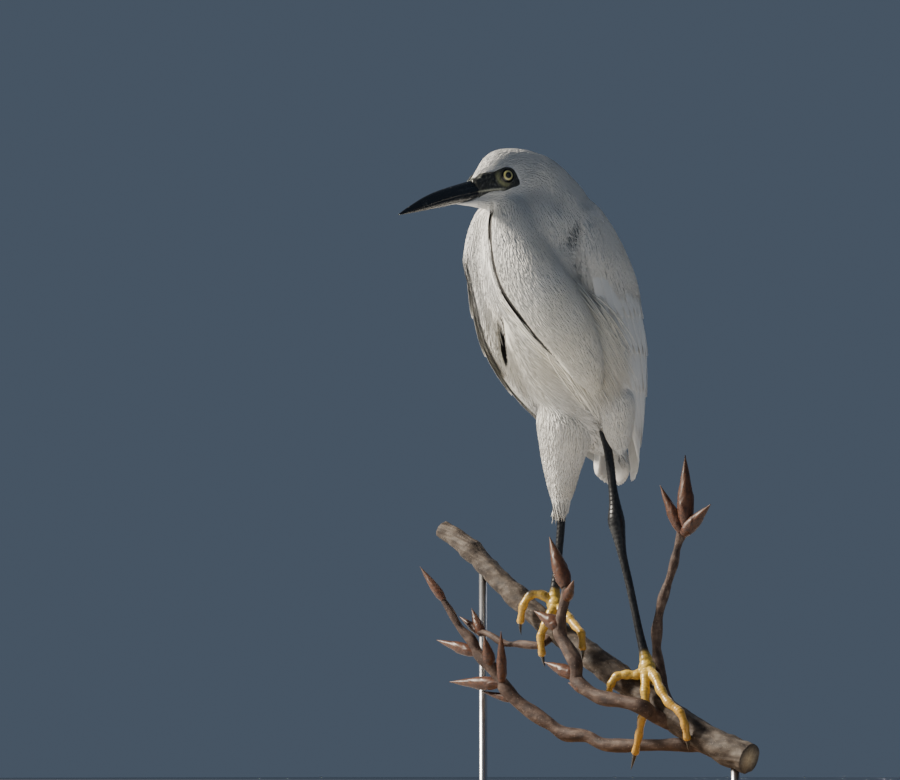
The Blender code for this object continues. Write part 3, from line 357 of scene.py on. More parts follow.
# Branch and side twigs: x, y, z, radius.
BRANCH = (
    (-142.0, 2.6, 91.0, 7.0),
    (-117.0, 2.0, 76.0, 8.0),
    (-75.5, 1.0, 43.0, 8.5),
    (-35.5, 0.0, 13.5, 9.0),
    (13.0, 0.0, -15.5, 10.0),
    (47.5, 0.0, -36.0, 10.0),
    (78.5, 0.0, -55.0, 10.5),
    (109.0, 0.0, -72.0, 11.0),
    (131.5, 0.0, -82.0, 11.0),
    (154.0, -1.0, -89.5, 11.5),
)
TWIGS = {
    "twig_front": (
        (84.0, -3.0, -62.5, 6.0),
        (78.0, -14.0, -58.0, 6.0),
        (73.5, -26.0, -51.0, 5.5),
        (57.0, -29.0, -47.0, 5.5),
        (39.0, -30.0, -44.0, 5.5),
        (26.5, -30.0, -38.5, 5.5),
        (16.5, -29.0, -31.0, 5.5),
        (15.5, -29.0, -19.0, 5.5),
        (6.0, -28.0, -5.5, 5.5),
        (-1.1, -27.0, 4.5, 5.0),
        (0.6, -27.0, 19.5, 4.5),
        (5.5, -27.0, 35.5, 3.8),
        (3.9, -27.0, 46.5, 3.4),
    ),
    "twig_upright": (
        (79.0, 4.0, -52.0, 5.0),
        (68.0, 10.0, -38.5, 5.0),
        (61.5, 13.0, -18.5, 4.5),
        (60.0, 13.0, -3.3, 4.0),
        (62.0, 12.0, 11.5, 4.0),
        (66.5, 11.0, 26.5, 3.8),
        (71.5, 11.0, 39.0, 3.6),
        (77.5, 11.0, 54.0, 3.4),
        (81.0, 11.0, 66.5, 3.3),
        (85.5, 11.0, 78.5, 3.4),
        (88.0, 11.0, 87.0, 3.2),
    ),
    "twig_lower": (
        (123.5, 0.0, -83.0, 6.0),
        (106.0, 4.0, -80.0, 5.5),
        (92.5, 6.0, -79.5, 5.0),
        (55.0, 6.5, -79.5, 5.0),
        (18.5, 5.0, -79.5, 5.0),
        (0.9, 3.0, -73.0, 5.0),
        (-20.0, 1.0, -70.5, 5.5),
        (-34.5, -1.0, -62.0, 5.5),
        (-52.0, -4.0, -51.5, 5.5),
        (-65.5, -8.0, -40.0, 5.5),
        (-73.5, -10.0, -29.5, 5.0),
        (-81.0, -13.0, -18.0, 5.0),
        (-90.5, -16.0, -9.0, 5.0),
        (-95.5, -18.0, 1.6, 4.0),
        (-104.5, -21.0, 11.0, 3.4),
        (-112.5, -24.0, 25.0, 2.8),
        (-120.0, -27.0, 37.0, 2.6),
    ),
    "twig_side": (
        (-29.0, -3.0, 3.6, 3.6),
        (-31.5, -13.0, -3.4, 3.2),
        (-51.0, -13.0, -2.2, 2.8),
        (-66.5, -12.5, -1.4, 2.6),
        (-82.0, -12.0, 5.5, 2.8),
        (-92.0, -12.0, 8.0, 2.9),
    ),
}
# Buds on each twig: base, tip, radius.
BUDS = {
    "twig_front": (
        ((5.0, -27.0, 39.5), (-10.5, -27.5, 78.0), 6.0),
        ((5.0, -27.0, 29.5), (17.0, -33.0, 44.0), 3.8),
        ((16.5, -29.0, -28.0), (-14.0, -30.0, -17.0), 5.0),
        ((28.5, -30.0, -38.5), (10.5, -32.0, -33.0), 4.5),
        ((0.9, -27.0, 8.5), (-23.0, -31.0, 22.0), 5.5),
    ),
    "twig_upright": (
        ((89.5, 11.0, 83.5), (89.5, 11.0, 137.5), 6.0),
        ((86.5, 10.0, 79.5), (69.5, 6.0, 115.5), 4.5),
        ((87.5, 10.0, 78.0), (112.0, 12.0, 99.5), 5.0),
    ),
    "twig_lower": (
        ((-117.0, -26.0, 33.0), (-138.0, -30.0, 59.5), 3.5),
        ((-92.0, -17.0, -8.5), (-128.5, -21.0, 2.2), 4.5),
        ((-73.0, -11.0, -32.5), (-119.5, -16.0, -30.5), 5.0),
        ((-63.0, -7.0, -45.0), (-92.5, -10.0, -38.0), 2.9),
        ((-70.0, -12.0, -31.0), (-64.0, -20.5, 7.5), 3.9),
        ((-79.5, -14.0, -18.0), (-79.5, -22.0, 3.8), 4.5),
    ),
    "twig_side": (
        ((-90.0, -12.0, 5.5), (-102.0, -10.0, 26.5), 4.0),
        ((-90.0, -12.0, 6.5), (-113.5, -11.0, 20.5), 3.3),
    ),
}


class Side(Enum):
    """The bird's two sides, with the sign of x on each."""

    LEFT = ("left", 1.0)
    RIGHT = ("right", -1.0)

    @property
    def word(self) -> str:
        """The side's name in piece names."""
        return self.value[0]

    @property
    def sign(self) -> float:
        """Plus one on the bird's left, minus one on its right."""
        return self.value[1]


class Zone(Enum):
    """Parts of the plumage that have a lie and a length of their own."""

    HEAD = 0
    NAPE = 1
    THROAT = 2
    BREAST = 3
    THIGH_LEFT = 4
    THIGH_RIGHT = 5
    WING_LEFT = 6
    WING_RIGHT = 7


def unit(vectors: Array) -> Array:
    """Vectors scaled to length one."""
    vectors = np.asarray(vectors, float)
    return vectors / np.maximum(np.linalg.norm(vectors, axis=-1, keepdims=True), 1e-9)


def step(low: float, high: float, value: Array) -> Array:
    """A smooth rise from 0 at low to 1 at high: 3t^2 - 2t^3 of the clipped share t."""
    share = np.clip((np.asarray(value, float) - low) / (high - low), 0.0, 1.0)
    return share * share * (3.0 - 2.0 * share)


def smooth_rows(rows: tuple, count: int) -> Array:
    """Reads a smooth curve through the rows of a table.

    Each stretch between two rows is a cubic whose slope at a row is half the step from the row before
    to the row after.

    Args:
        rows: the table, one row per control point.
        count: how many evenly spaced rows to read.

    Returns:
        The rows read, as an array.
    """
    table = np.asarray(rows, float)
    place = np.linspace(0, len(table) - 1, count)
    index = np.clip(place.astype(int), 0, len(table) - 2)
    f = (place - index)[:, None]
    padded = np.vstack([2 * table[0] - table[1], table, 2 * table[-1] - table[-2]])
    a, b, c, d = (padded[index + k] for k in range(4))
    return 0.5 * (2 * b + (c - a) * f + (2 * a - 5 * b + 4 * c - d) * f**2 + (3 * b - a - 3 * c + d) * f**3)


ROUNDNESS = 0.93


def rounded(value: Array) -> Array:
    """A sine or cosine drawn outwards a little, so that a section is fuller than an ellipse."""
    return np.sign(value) * np.abs(value) ** ROUNDNESS


def ripple(points: Array, wavelength: float, seed: int, waves: int = 9) -> Array:
    """Smooth unevenness between about -1 and 1: the mean of sine waves that run in many directions.

    Args:
        points: where to read it, in millimetres.
        wavelength: the mean length of a wave.
        seed: picks the directions and phases.
        waves: how many waves are added.

    Returns:
        One value per point.
    """
    rng = np.random.default_rng(seed)
    heading = unit(rng.normal(size=(waves, 3))) * rng.uniform(0.6, 1.5, (waves, 1))
    phase = rng.uniform(0, 2 * math.pi, waves)
    return np.sin(points @ heading.T * (2 * math.pi / wavelength) + phase).sum(-1) / math.sqrt(waves * 0.5) * 0.6


def nearest(points: Array, samples: Array, chunk: int = 4000) -> tuple[Array, Array]:
    """For each point the index of the closest sample and its distance, worked out in blocks."""
    index = np.empty(len(points), int)
    gap = np.empty(len(points))
    square = (samples**2).sum(1)
    for first in range(0, len(points), chunk):
        block = points[first : first + chunk]
        apart = (block**2).sum(1)[:, None] + square - 2.0 * block @ samples.T
        index[first : first + chunk] = apart.argmin(1)
        gap[first : first + chunk] = np.sqrt(np.maximum(apart.min(1), 0.0))
    return index, gap


@dataclass
class Shape:
    """Points and faces before they become a mesh, with values carried by the points."""

    points: Array
    faces: list[Array]
    values: dict[str, Array] = field(default_factory=dict)
    maps: dict[str, Array] = field(default_factory=dict)

    @staticmethod
    def joined(shapes: list["Shape"]) -> "Shape":
        """All the shapes as one, which have the same kinds of values and maps."""
        faces, shift = [], 0
        for shape in shapes:
            faces += [face + shift for face in shape.faces]
            shift += len(shape.points)
        values = {k: np.concatenate([s.values[k] for s in shapes]) for k in shapes[0].values}
        maps = {k: np.concatenate([s.maps[k] for s in shapes]) for k in shapes[0].maps}
        return Shape(np.concatenate([s.points for s in shapes]), faces, values, maps)

    def mesh(self, name: str) -> bpy.types.Object:
        """Writes the shape into a mesh object in metres, smooth shaded, at the origin.

        Args:
            name: the piece's name.

        Returns:
            The object, linked to the scene.
        """
        mesh = bpy.data.meshes.new(name)
        sizes = np.concatenate([np.full(len(f), f.shape[1]) for f in self.faces])
        corners = np.concatenate([f.ravel() for f in self.faces]).astype(np.int32)
        starts = np.concatenate([[0], np.cumsum(sizes)[:-1]]).astype(np.int32)
        mesh.vertices.add(len(self.points))
        mesh.vertices.foreach_set("co", ((self.points + BIRD_PLACE) * MM).astype(np.float32).ravel())
        mesh.loops.add(len(corners))
        mesh.loops.foreach_set("vertex_index", corners)
        mesh.polygons.add(len(sizes))
        mesh.polygons.foreach_set("loop_start", starts)
        mesh.polygons.foreach_set("use_smooth", np.ones(len(sizes), bool))
        mesh.update(calc_edges=True)
        for key, value in self.values.items():
            layer = mesh.attributes.new(key, "FLOAT" if value.ndim == 1 else "FLOAT_VECTOR", "POINT")
            layer.data.foreach_set("value" if value.ndim == 1 else "vector", value.astype(np.float32).ravel())
        for key, value in self.maps.items():
            layer = mesh.uv_layers.new(name=key)
            layer.data.foreach_set("uv", value[corners].astype(np.float32).ravel())
        obj = bpy.data.objects.new(name, mesh)
        bpy.context.scene.collection.objects.link(obj)
        return obj


def grid_faces(rows: int, columns: int) -> Array:
    """Quads between neighbours of a grid of points, closed across the columns."""
    i = np.arange(rows - 1)[:, None]
    j = np.arange(columns)[None, :]
    k = (j + 1) % columns
    faces = [i * columns + j, i * columns + k, (i + 1) * columns + k, (i + 1) * columns + j]
    return np.stack(faces, -1).reshape(-1, 4)


def closed_rings(rings: Array, values: dict[str, Array] | None = None, maps: dict[str, Array] | None = None) -> Shape:
    """A closed surface through rings of points, each end closed by a fan round its middle.

    Args:
        rings: rows by sides by 3, each ring turning anticlockwise seen from its last ring.
        values: point values, rows by sides.
        maps: point map places, rows by sides by 2.

    Returns:
        The shape.
    """
    rows, sides = rings.shape[:2]
    points = np.vstack([rings.reshape(-1, 3), rings[0].mean(0), rings[-1].mean(0)])
    j = np.arange(sides)
    k = (j + 1) % sides
    start, end, last = rows * sides, rows * sides + 1, (rows - 1) * sides
    fans = np.concatenate(
        [
            np.stack([np.full(sides, start), k, j], -1),
            np.stack([np.full(sides, end), last + j, last + k], -1),
        ]
    )
    kept = {n: np.concatenate([v.ravel(), [v[0].mean(), v[-1].mean()]]) for n, v in (values or {}).items()}
    placed = {
        n: np.concatenate([m.reshape(-1, 2), m[0].mean(0)[None], m[-1].mean(0)[None]])
        for n, m in (maps or {}).items()
    }
    return Shape(points, [grid_faces(rows, sides), fans], kept, placed)


def carried_frames(path: Array) -> tuple[Array, Array, Array]:
    """Tangent, side and up along a path, the side turned only as far as the path turns.

    Args:
        path: the points that it follows.

    Returns:
        Three arrays of unit vectors, one row per point.
    """
    tangent = unit(np.gradient(path, axis=0))
    side = np.empty_like(tangent)
    axis = np.eye(3)[np.abs(tangent[0]).argmin()]
    side[0] = unit(np.cross(tangent[0], axis))
    for row in range(1, len(path)):
        kept = side[row - 1] - tangent[row] * (side[row - 1] @ tangent[row])
        side[row] = unit(kept)
    return tangent, side, np.cross(tangent, side)


def tube(rows: Array, sides: int, radius: Array | None = None, cap: float = 0.0) -> Shape:
    """A tube along rows of centre and radius: centre plus radius times the turning side vector.

    Args:
        rows: centres and radii.
        sides: points round each ring.
        radius: rows by sides radii in place of the table's own.
        cap: share of the radius by which each end is rounded out.

    Returns:
        The closed tube with "Along" in millimetres.
    """
    tangent, side, up = carried_frames(rows[:, :3])
    turn = np.linspace(0, 2 * math.pi, sides, endpoint=False)
    reach = np.repeat(rows[:, 3:4], sides, 1) if radius is None else radius
    around = side[:, None] * np.cos(turn)[None, :, None] + up[:, None] * np.sin(turn)[None, :, None]
    rings = rows[:, None, :3] + around * reach[..., None]
    travel = np.concatenate([[0], np.cumsum(np.linalg.norm(np.diff(rows[:, :3], axis=0), axis=1))])
    if cap:
        swell = np.array((0.35, 0.72, 0.94))
        bulge = np.array((0.95, 0.68, 0.33)) * cap
        first = rows[0, :3] - tangent[0] * (bulge * rows[0, 3])[:, None]
        last = rows[-1, :3] + tangent[-1] * (bulge[::-1] * rows[-1, 3])[:, None]
        head = first[:, None] + around[0] * (swell * rows[0, 3])[:, None, None]
        tail = last[:, None] + around[-1] * (swell[::-1] * rows[-1, 3])[:, None, None]
        rings = np.concatenate([head, rings, tail])
        travel = np.concatenate([np.zeros(3), travel, np.full(3, travel[-1])])
    along = np.repeat(travel[:, None], sides, 1)
    return closed_rings(rings, {"Along": along})


class BodySurface:
    """A body of level sections, each an ellipse-like ring given by its half width, front and back."""

    def __init__(self, table: tuple) -> None:
        """Reads the table finely."""
        self.rows = smooth_rows(table, 240)

    def sizes(self, height: Array) -> tuple[Array, Array, Array]:
        """Half width, front and back at a height."""
        return tuple(np.interp(height, self.rows[:, 0], self.rows[:, k]) for k in (1, 2, 3))

    def at(self, angle: Array, height: Array, offset: Array = 0.0) -> Array:
        """The point at an angle in degrees from the breast, a height and an offset outwards.

        The ring is x = (half width + offset) sin(angle), y = middle - (half depth + offset) cos(angle),
        with both sines drawn out a little.
        """
        width, front, back = self.sizes(height)
        turn = np.radians(angle)
        x = (width + offset) * rounded(np.sin(turn))
        y = (front + back) / 2 - ((back - front) / 2 + offset) * rounded(np.cos(turn))
        return np.stack(np.broadcast_arrays(x, y, height), axis=-1).astype(float)

    def outside(self, points: Array) -> Array:
        """Roughly how far each point lies outside the surface: its ring share less one, times the mean radius."""
        width, front, back = self.sizes(points[:, 2])
        depth = (back - front) / 2
        power = 2.0 / ROUNDNESS
        share = np.abs(points[:, 0] / width) ** power + np.abs((points[:, 1] - (front + back) / 2) / depth) ** power
        beyond = np.maximum(self.rows[0, 0] - points[:, 2], points[:, 2] - self.rows[-1, 0])
        return (share ** (1 / power) - 1.0) * (width + depth) / 2 + np.maximum(beyond, 0.0)


class HeadFrame:
    """The head's own axes, forward, left and up, and the form that its tables give."""

    def __init__(self) -> None:
        """Turns the axes by the head's turn and tilt and reads the tables finely."""
        turn, tilt = math.radians(HEAD_TURN), math.radians(HEAD_TILT)
        self.forward = np.array(
            (-math.sin(turn) * math.cos(tilt), -math.cos(turn) * math.cos(tilt), -math.sin(tilt))
        )
        self.left = np.array((math.cos(turn), -math.sin(turn), 0.0))
        self.up = -np.cross(self.left, self.forward)
        self.rows = smooth_rows(HEAD, 200)[::-1]
        self.chin = smooth_rows(CHIN, 120)[::-1]
        self.bill = smooth_rows(BILL, 160)

    def out(self, forward: Array, left: Array, up: Array) -> Array:
        """A place in the head's axes as a point of the bird's frame."""
        return (
            np.asarray(HEAD_CENTRE)
            + np.multiply.outer(forward, self.forward)
            + np.multiply.outer(left, self.left)
            + np.multiply.outer(up, self.up)
        )

    def into(self, points: Array) -> tuple[Array, Array, Array]:
        """Forward, left and up of points of the bird's frame."""
        apart = points - np.asarray(HEAD_CENTRE)
        return apart @ self.forward, apart @ self.left, apart @ self.up

    def half_width(self, forward: Array, up: Array) -> Array:
        """How far the head's side stands out: half width times (1 - |height share|^p)^(1/p)."""
        half, top, bottom = (np.interp(forward, self.rows[:, 0], self.rows[:, k]) for k in (1, 2, 3))
        power = 2.0 / ROUNDNESS
        share = np.clip(np.abs(up - (top + bottom) / 2) / np.maximum((top - bottom) / 2, 0.1), 0.0, 0.999)
        return half * (1.0 - share**power) ** (1 / power)

    def bill_width(self, forward: Array, up: Array) -> Array:
        """How far the bill's side stands out at a place, narrowing above and below the mouth line."""
        half, culmen, mouth, lower = (np.interp(forward, self.bill[:, 0], self.bill[:, k]) for k in (1, 2, 3, 4))
        share = np.where(up > mouth, (up - mouth) / (culmen - mouth), (mouth - up) / (mouth - lower))
        return half * np.sqrt(np.clip(1.0 - np.clip(share, 0, 1) ** 2.4, 0.0, 1.0))

    def chin_width(self, forward: Array, up: Array) -> Array:
        """How far the chin's side stands out, by the same rule as the head's."""
        half, top, bottom = (np.interp(forward, self.chin[:, 0], self.chin[:, k]) for k in (1, 2, 3))
        power = 2.0 / ROUNDNESS
        share = np.clip(np.abs(up - (top + bottom) / 2) / np.maximum((top - bottom) / 2, 0.1), 0.0, 1.0)
        return half * (1.0 - share**power) ** (1 / power) * (forward < self.chin[-1, 0])

    def eye(self, side: Side) -> tuple[Array, Array]:
        """The middle of an eyeball and the way it looks."""
        forward, out, up = EYE_MIDDLE
        turn, rise = np.radians(EYE_TURN)
        axis = self.left * side.sign * math.cos(turn) + self.forward * math.sin(turn)
        axis = axis * math.cos(rise) + self.up * math.sin(rise)
        return self.out(forward, out * side.sign, up), axis

    def outside(self, points: Array) -> Array:
        """Roughly how far each point lies outside the head or chin."""
        forward, left, up = self.into(points)
        power = 2.0 / ROUNDNESS
        best = np.full(len(points), 99.0)
        for rows in (self.rows, self.chin):
            half, top, bottom = (np.interp(forward, rows[:, 0], rows[:, k]) for k in (1, 2, 3))
            tall = (top - bottom) / 2
            share = np.abs(left / half) ** power + np.abs((up - (top + bottom) / 2) / tall) ** power
            beyond = np.maximum(rows[0, 0] - forward, forward - rows[-1, 0])
            apart = (share ** (1 / power) - 1.0) * (half + tall) / 2 + np.maximum(beyond, 0.0)
            best = np.minimum(best, apart)
        return best

    def loft(self, table: tuple, count: int, sides: int) -> Shape:
        """A closed loft of sections along the head, each left = half sin, up = middle + half height cos."""
        rows = smooth_rows(table, count)
        turn = np.linspace(0, 2 * math.pi, sides, endpoint=False)
        half, top, bottom = (rows[:, k, None] for k in (1, 2, 3))
        left = half * rounded(np.sin(turn))
        up = (top + bottom) / 2 + (top - bottom) / 2 * rounded(np.cos(turn))
        forward = np.repeat(rows[:, :1], sides, 1)
        return closed_rings(self.out(forward, left, up))


HEAD_FRAME = HeadFrame()


@dataclass
class WingForm:
    """Where a folded wing lies: along from shoulder to tip, across from leading edge to back."""

    side: Side
    core_top: float = -4.6
    core_end: float = 0.82
    shoulder: float = 3.4
    mantle: float = 0.27
    plate: float = 3.2
    nose: float = 5.0
    nose_reach: float = 0.12

    def __post_init__(self) -> None:
        """Reads the edges and surfaces finely."""
        self.surface = BodySurface(WING_SURFACE)
        self.leading = smooth_rows(WING_EDGE[self.side.word], 160)
        self.back = smooth_rows(WING_BACK_EDGE, 160)

    def place(self, along: Array, across: Array, offset: Array) -> Array:
        """A point of the wing: the body angle and height are mixed between the two edges by the share across."""
        along, across, offset = np.broadcast_arrays(
            np.asarray(along, float), np.asarray(across, float), np.asarray(offset, float)
        )
        share = np.linspace(0, 1, len(self.leading))
        lead = [np.interp(along, share, self.leading[:, k]) for k in (0, 1)]
        back = [np.interp(along, share, self.back[:, k]) for k in (0, 1)]
        angle = lead[0] + (back[0] - lead[0]) * across
        height = lead[1] + (back[1] - lead[1]) * across
        fall = self.nose * np.clip(1.0 - across / self.nose_reach, 0, 1) ** 2
        point = self.surface.at(angle, height, offset - fall)
        point[..., 0] *= self.side.sign
        return point

    def level(self, along: Array) -> Array:
        """How high the plate's face stands: raised over the shoulder, where tufts cover it instead of vanes."""
        raised = self.shoulder * step(self.mantle + 0.10, self.mantle - 0.02, along)
        return self.core_top + raised - np.clip(0.08 - along, 0, 1) * 62.0

    def slab(self) -> Shape:
        """The closed plate under the feathers, deep enough over the body to be lost in it."""
        along, across = np.meshgrid(np.linspace(0.0, self.core_end, 60), np.linspace(0.0, 1.0, 26), indexing="ij")
        top = self.level(along)
        outer = self.place(along, across, top)
        depth = self.plate + 9.0 * step(160.0, 182.0, outer[..., 2])
        inner = self.place(along, across, top - depth)
        rings = np.concatenate([outer, inner[:, ::-1]], axis=1)
        if self.side is Side.LEFT:
            rings = rings[:, ::-1]
        return closed_rings(rings)


def outward(shape: Shape) -> Shape:
    """The same closed shape with its faces turned outwards: all are flipped if its volume comes out negative.

    The volume is the sum over the faces' fans of a . (b x c) / 6.
    """
    centre = shape.points.mean(0)
    volume = 0.0
    for faces in shape.faces:
        a = shape.points[faces[:, 0]] - centre
        for k in range(1, faces.shape[1] - 1):
            b, c = shape.points[faces[:, k]] - centre, shape.points[faces[:, k + 1]] - centre
            volume += (a * np.cross(b, c)).sum()
    if volume < 0:
        shape.faces = [faces[:, ::-1] for faces in shape.faces]
    return shape


def warmth(points: Array) -> Array:
    """How cream the plumage is at a place: most on the lower breast and thighs, least on head and wings."""
    low = step(290.0, 190.0, points[:, 2]) * step(-20.0, -60.0, points[:, 1] - 0.25 * np.abs(points[:, 0]))
    return np.clip(0.55 * low + 0.20 * step(190.0, 120.0, points[:, 2]) + 0.12 * ripple(points, 34.0, 5), 0, 1)


def blades(rings: Array, across: Array) -> Shape:
    """Many closed blades at once, from the ring of points round each of their stations.

    Args:
        rings: blades by stations by points by 3, the points passing over the top from left to right and
            back underneath.
        across: share across the blade of each point of a ring.

    Returns:
        The blades as one shape, with "Across" and "Along" shares on each point.
    """
    count, stations, columns = rings.shape[:3]
    size = stations * columns
    walls = grid_faces(stations, columns)
    j = np.arange(1, columns - 1)
    last = size - columns
    caps = np.concatenate(
        [
            np.stack([np.zeros(columns - 2, int), j + 1, j], -1),
            np.stack([np.full(columns - 2, last), last + j, last + j + 1], -1),
        ]
    )
    shift = (np.arange(count) * size)[:, None, None]
    faces = [(walls[None] + shift).reshape(-1, 4), (caps[None] + shift).reshape(-1, 3)]
    shape = (count, stations, columns)
    shares = {
        "Across": np.broadcast_to(across, shape).ravel(),
        "Along": np.broadcast_to(np.linspace(0, 1, stations)[:, None], shape).ravel(),
    }
    return Shape(rings.reshape(-1, 3), faces, shares)


def ribbons(centre: Array, normal: Array, half: Array, crown: Array, columns: int) -> Shape:
    """Many flat tapered closed blades at once.

    A blade's section runs from its left edge over a crown to its right edge: centre + side t half +
    normal crown (1 - t^2), with t from -1 to 1, and is closed by a flat underside.

    Args:
        centre: blades by stations by 3, the middle line of each.
        normal: the way each station's face looks.
        half: blades by stations, half the width.
        crown: blades by stations, the thickness at the middle.
        columns: points over the top.

    Returns:
        The blades.
    """
    tangent = unit(np.gradient(centre, axis=1))
    side = unit(np.cross(tangent, normal))
    over = unit(np.cross(side, tangent))
    t = np.linspace(-1.0, 1.0, columns)
    points = (
        centre[:, :, None]
        + side[:, :, None] * (half[..., None] * t)[..., None]
        + over[:, :, None] * (crown[..., None] * (1.0 - t**2))[..., None]
    )
    return blades(points, t * 0.5 + 0.5)


def wrapped(forms: list[Shape], voxel: float, passes: int) -> tuple[Array, Array]:
    """Wraps overlapping closed forms in one even mesh of quads and smooths it.

    Each smoothing pass moves a point half way to the mean of its neighbours.

    Args:
        forms: closed shapes that may cross each other.
        voxel: the size of a quad.
        passes: how often it is smoothed.

    Returns:
        Points in the bird's frame and quads.
    """
    rough = Shape.joined(forms).mesh("forms")
    wrap = rough.modifiers.new("wrap", "REMESH")
    wrap.mode = "VOXEL"
    wrap.voxel_size = voxel * MM
    bpy.context.view_layer.update()
    evaluated = rough.evaluated_get(bpy.context.evaluated_depsgraph_get())
    mesh = bpy.data.meshes.new_from_object(evaluated)
    bpy.data.objects.remove(rough)
    count = len(mesh.vertices)
    points = np.empty(count * 3, np.float32)
    mesh.vertices.foreach_get("co", points)
    points = points.reshape(-1, 3).astype(float) / MM - BIRD_PLACE
    corners = np.empty(len(mesh.loops), np.int32)
    mesh.loops.foreach_get("vertex_index", corners)
    bpy.data.meshes.remove(mesh)
    quads = corners.reshape(-1, 4)
    return relaxed(points, quads, passes, np.ones(count)), quads


def relaxed(points: Array, quads: Array, passes: int, share: Array) -> Array:
    """Smooths a mesh: each pass moves a point its share of half the way to the mean of its neighbours.

    Args:
        points: the mesh's points.
        quads: its faces.
        passes: how many times.
        share: from 0 to 1 for each point.

    Returns:
        The points moved.
    """
    count = len(points)
    ways = np.bincount(quads.ravel(), minlength=count)[:, None] * 2
    for _ in range(passes):
        total = np.zeros_like(points)
        for k in range(4):
            near = points[quads[:, (k + 1) % 4]] + points[quads[:, (k + 3) % 4]]
            total += np.stack([np.bincount(quads[:, k], near[:, axis], minlength=count) for axis in range(3)], -1)
        points = points + (total / np.maximum(ways, 1) - points) * (0.5 * share)[:, None]
    return points


@dataclass
class Skin:
    """One closed skin over head, necks, torso, thighs and the plates of the wings."""

    voxel: float = 1.35
    passes: int = 5
    cheek_passes: int = 44
    edge_passes: int = 64
    coat_depth: float = 0.5
    points: Array = field(default=None, init=False)
    quads: Array = field(default=None, init=False)
    normals: Array = field(default=None, init=False)
    dark: Array = field(default=None, init=False)

    def forms(self) -> list[Shape]:
        """The overlapping closed forms that the skin wraps."""
        heights = smooth_rows(TORSO, 60)[:, 0]
        height, angle = np.meshgrid(heights, np.linspace(0, 360, 64, endpoint=False), indexing="ij")
        forms = [closed_rings(BodySurface(TORSO).at(angle, height))]
        forms.append(HEAD_FRAME.loft(HEAD, 50, 48))
        forms.append(HEAD_FRAME.loft(CHIN, 30, 24))
        for rows, count in ((NECK_LOWER, 60), (NECK_UPPER, 30), (THIGHS["left"], 40), (THIGHS["right"], 40)):
            forms.append(tube(smooth_rows(rows, count), 40))
        forms += [WingForm(side).slab() for side in Side]
        return [outward(Shape(form.points, form.faces)) for form in forms]

    def build(self) -> bpy.types.Object:
        """Wraps the forms and draws the skin in by the depth of the coat.

        Returns:
            The skin, with its bare face marked and its narrow folds marked for painted shade.
        """
        self.points, self.quads = wrapped(self.forms(), self.voxel, self.passes)
        neck, _ = tube_outside(self.points, smooth_rows(NECK_UPPER, 40))
        cheek = step(16.0, 5.0, np.abs(HEAD_FRAME.outside(self.points))) * step(16.0, 5.0, np.abs(neck))
        self.points = relaxed(self.points, self.quads, self.cheek_passes, cheek)
        for side in Side:
            form = WingForm(side)
            along = np.linspace(0.02, 0.6, 60)
            _, gap = nearest(self.points, form.place(along, 0.03, form.level(along) - 2.0))
            self.points = relaxed(self.points, self.quads, self.edge_passes, step(21.0, 8.0, gap))
        self.normals = self.find_normals()
        moved = self.points - self.normals * self.coat_depth
        for index, (depth, _, narrow, _) in enumerate(FOLDS):
            way = np.asarray(FOLD_SIDE) if narrow else self.normals
            moved = moved - way * (depth * fold(self.points, self.normals, index))[:, None]
        self.dark = crease(self.points, self.normals)
        self.points = moved
        self.normals = self.find_normals()
        shape = Shape(self.points, [self.quads])
        shape.values["Bare"] = step(-0.4, 0.8, face_inset(self.points))
        # Fold marks the narrow folds, which the skin's paint turns nearly black: partly dark skin at the feathers'
        # roots, partly painted shade in the crease.
        shape.values["Fold"] = step(0.04, 0.20, self.dark)
        shape.values["Warmth"] = warmth(self.points)
        return shape.mesh("skin")

    def find_normals(self) -> Array:
        """Each point's normal, the sum of its faces' crossed diagonals."""
        a, b, c, d = (self.points[self.quads[:, k]] for k in range(4))
        face = np.cross(c - a, d - b)
        total = np.zeros_like(self.points)
        for k in range(4):
            total += np.stack(
                [np.bincount(self.quads[:, k], face[:, axis], minlength=len(self.points)) for axis in range(3)], -1
            )
        return unit(total)

    def scatter(self, count: int, seed: int) -> tuple[Array, Array]:
        """Random places on the skin, evenly spread by area.

        Args:
            count: how many.
            seed: of the draw.

        Returns:
            The places and the normals there.
        """
        rng = np.random.default_rng(seed)
        corners = np.concatenate([self.quads[:, (0, 1, 2)], self.quads[:, (0, 2, 3)]])
        a, b, c = (self.points[corners[:, k]] for k in range(3))
        area = np.linalg.norm(np.cross(b - a, c - a), axis=1)
        pick = rng.choice(len(corners), count, p=area / area.sum())
        u, v = rng.random((2, count))
        flip = u + v > 1.0
        u, v = np.where(flip, 1 - u, u)[:, None], np.where(flip, 1 - v, v)[:, None]
        mix = corners[pick]
        points = self.points[mix[:, 0]] * (1 - u - v) + self.points[mix[:, 1]] * u + self.points[mix[:, 2]] * v
        turned = self.normals[mix[:, 0]] * (1 - u - v) + self.normals[mix[:, 1]] * u + self.normals[mix[:, 2]] * v
        return points, unit(turned)


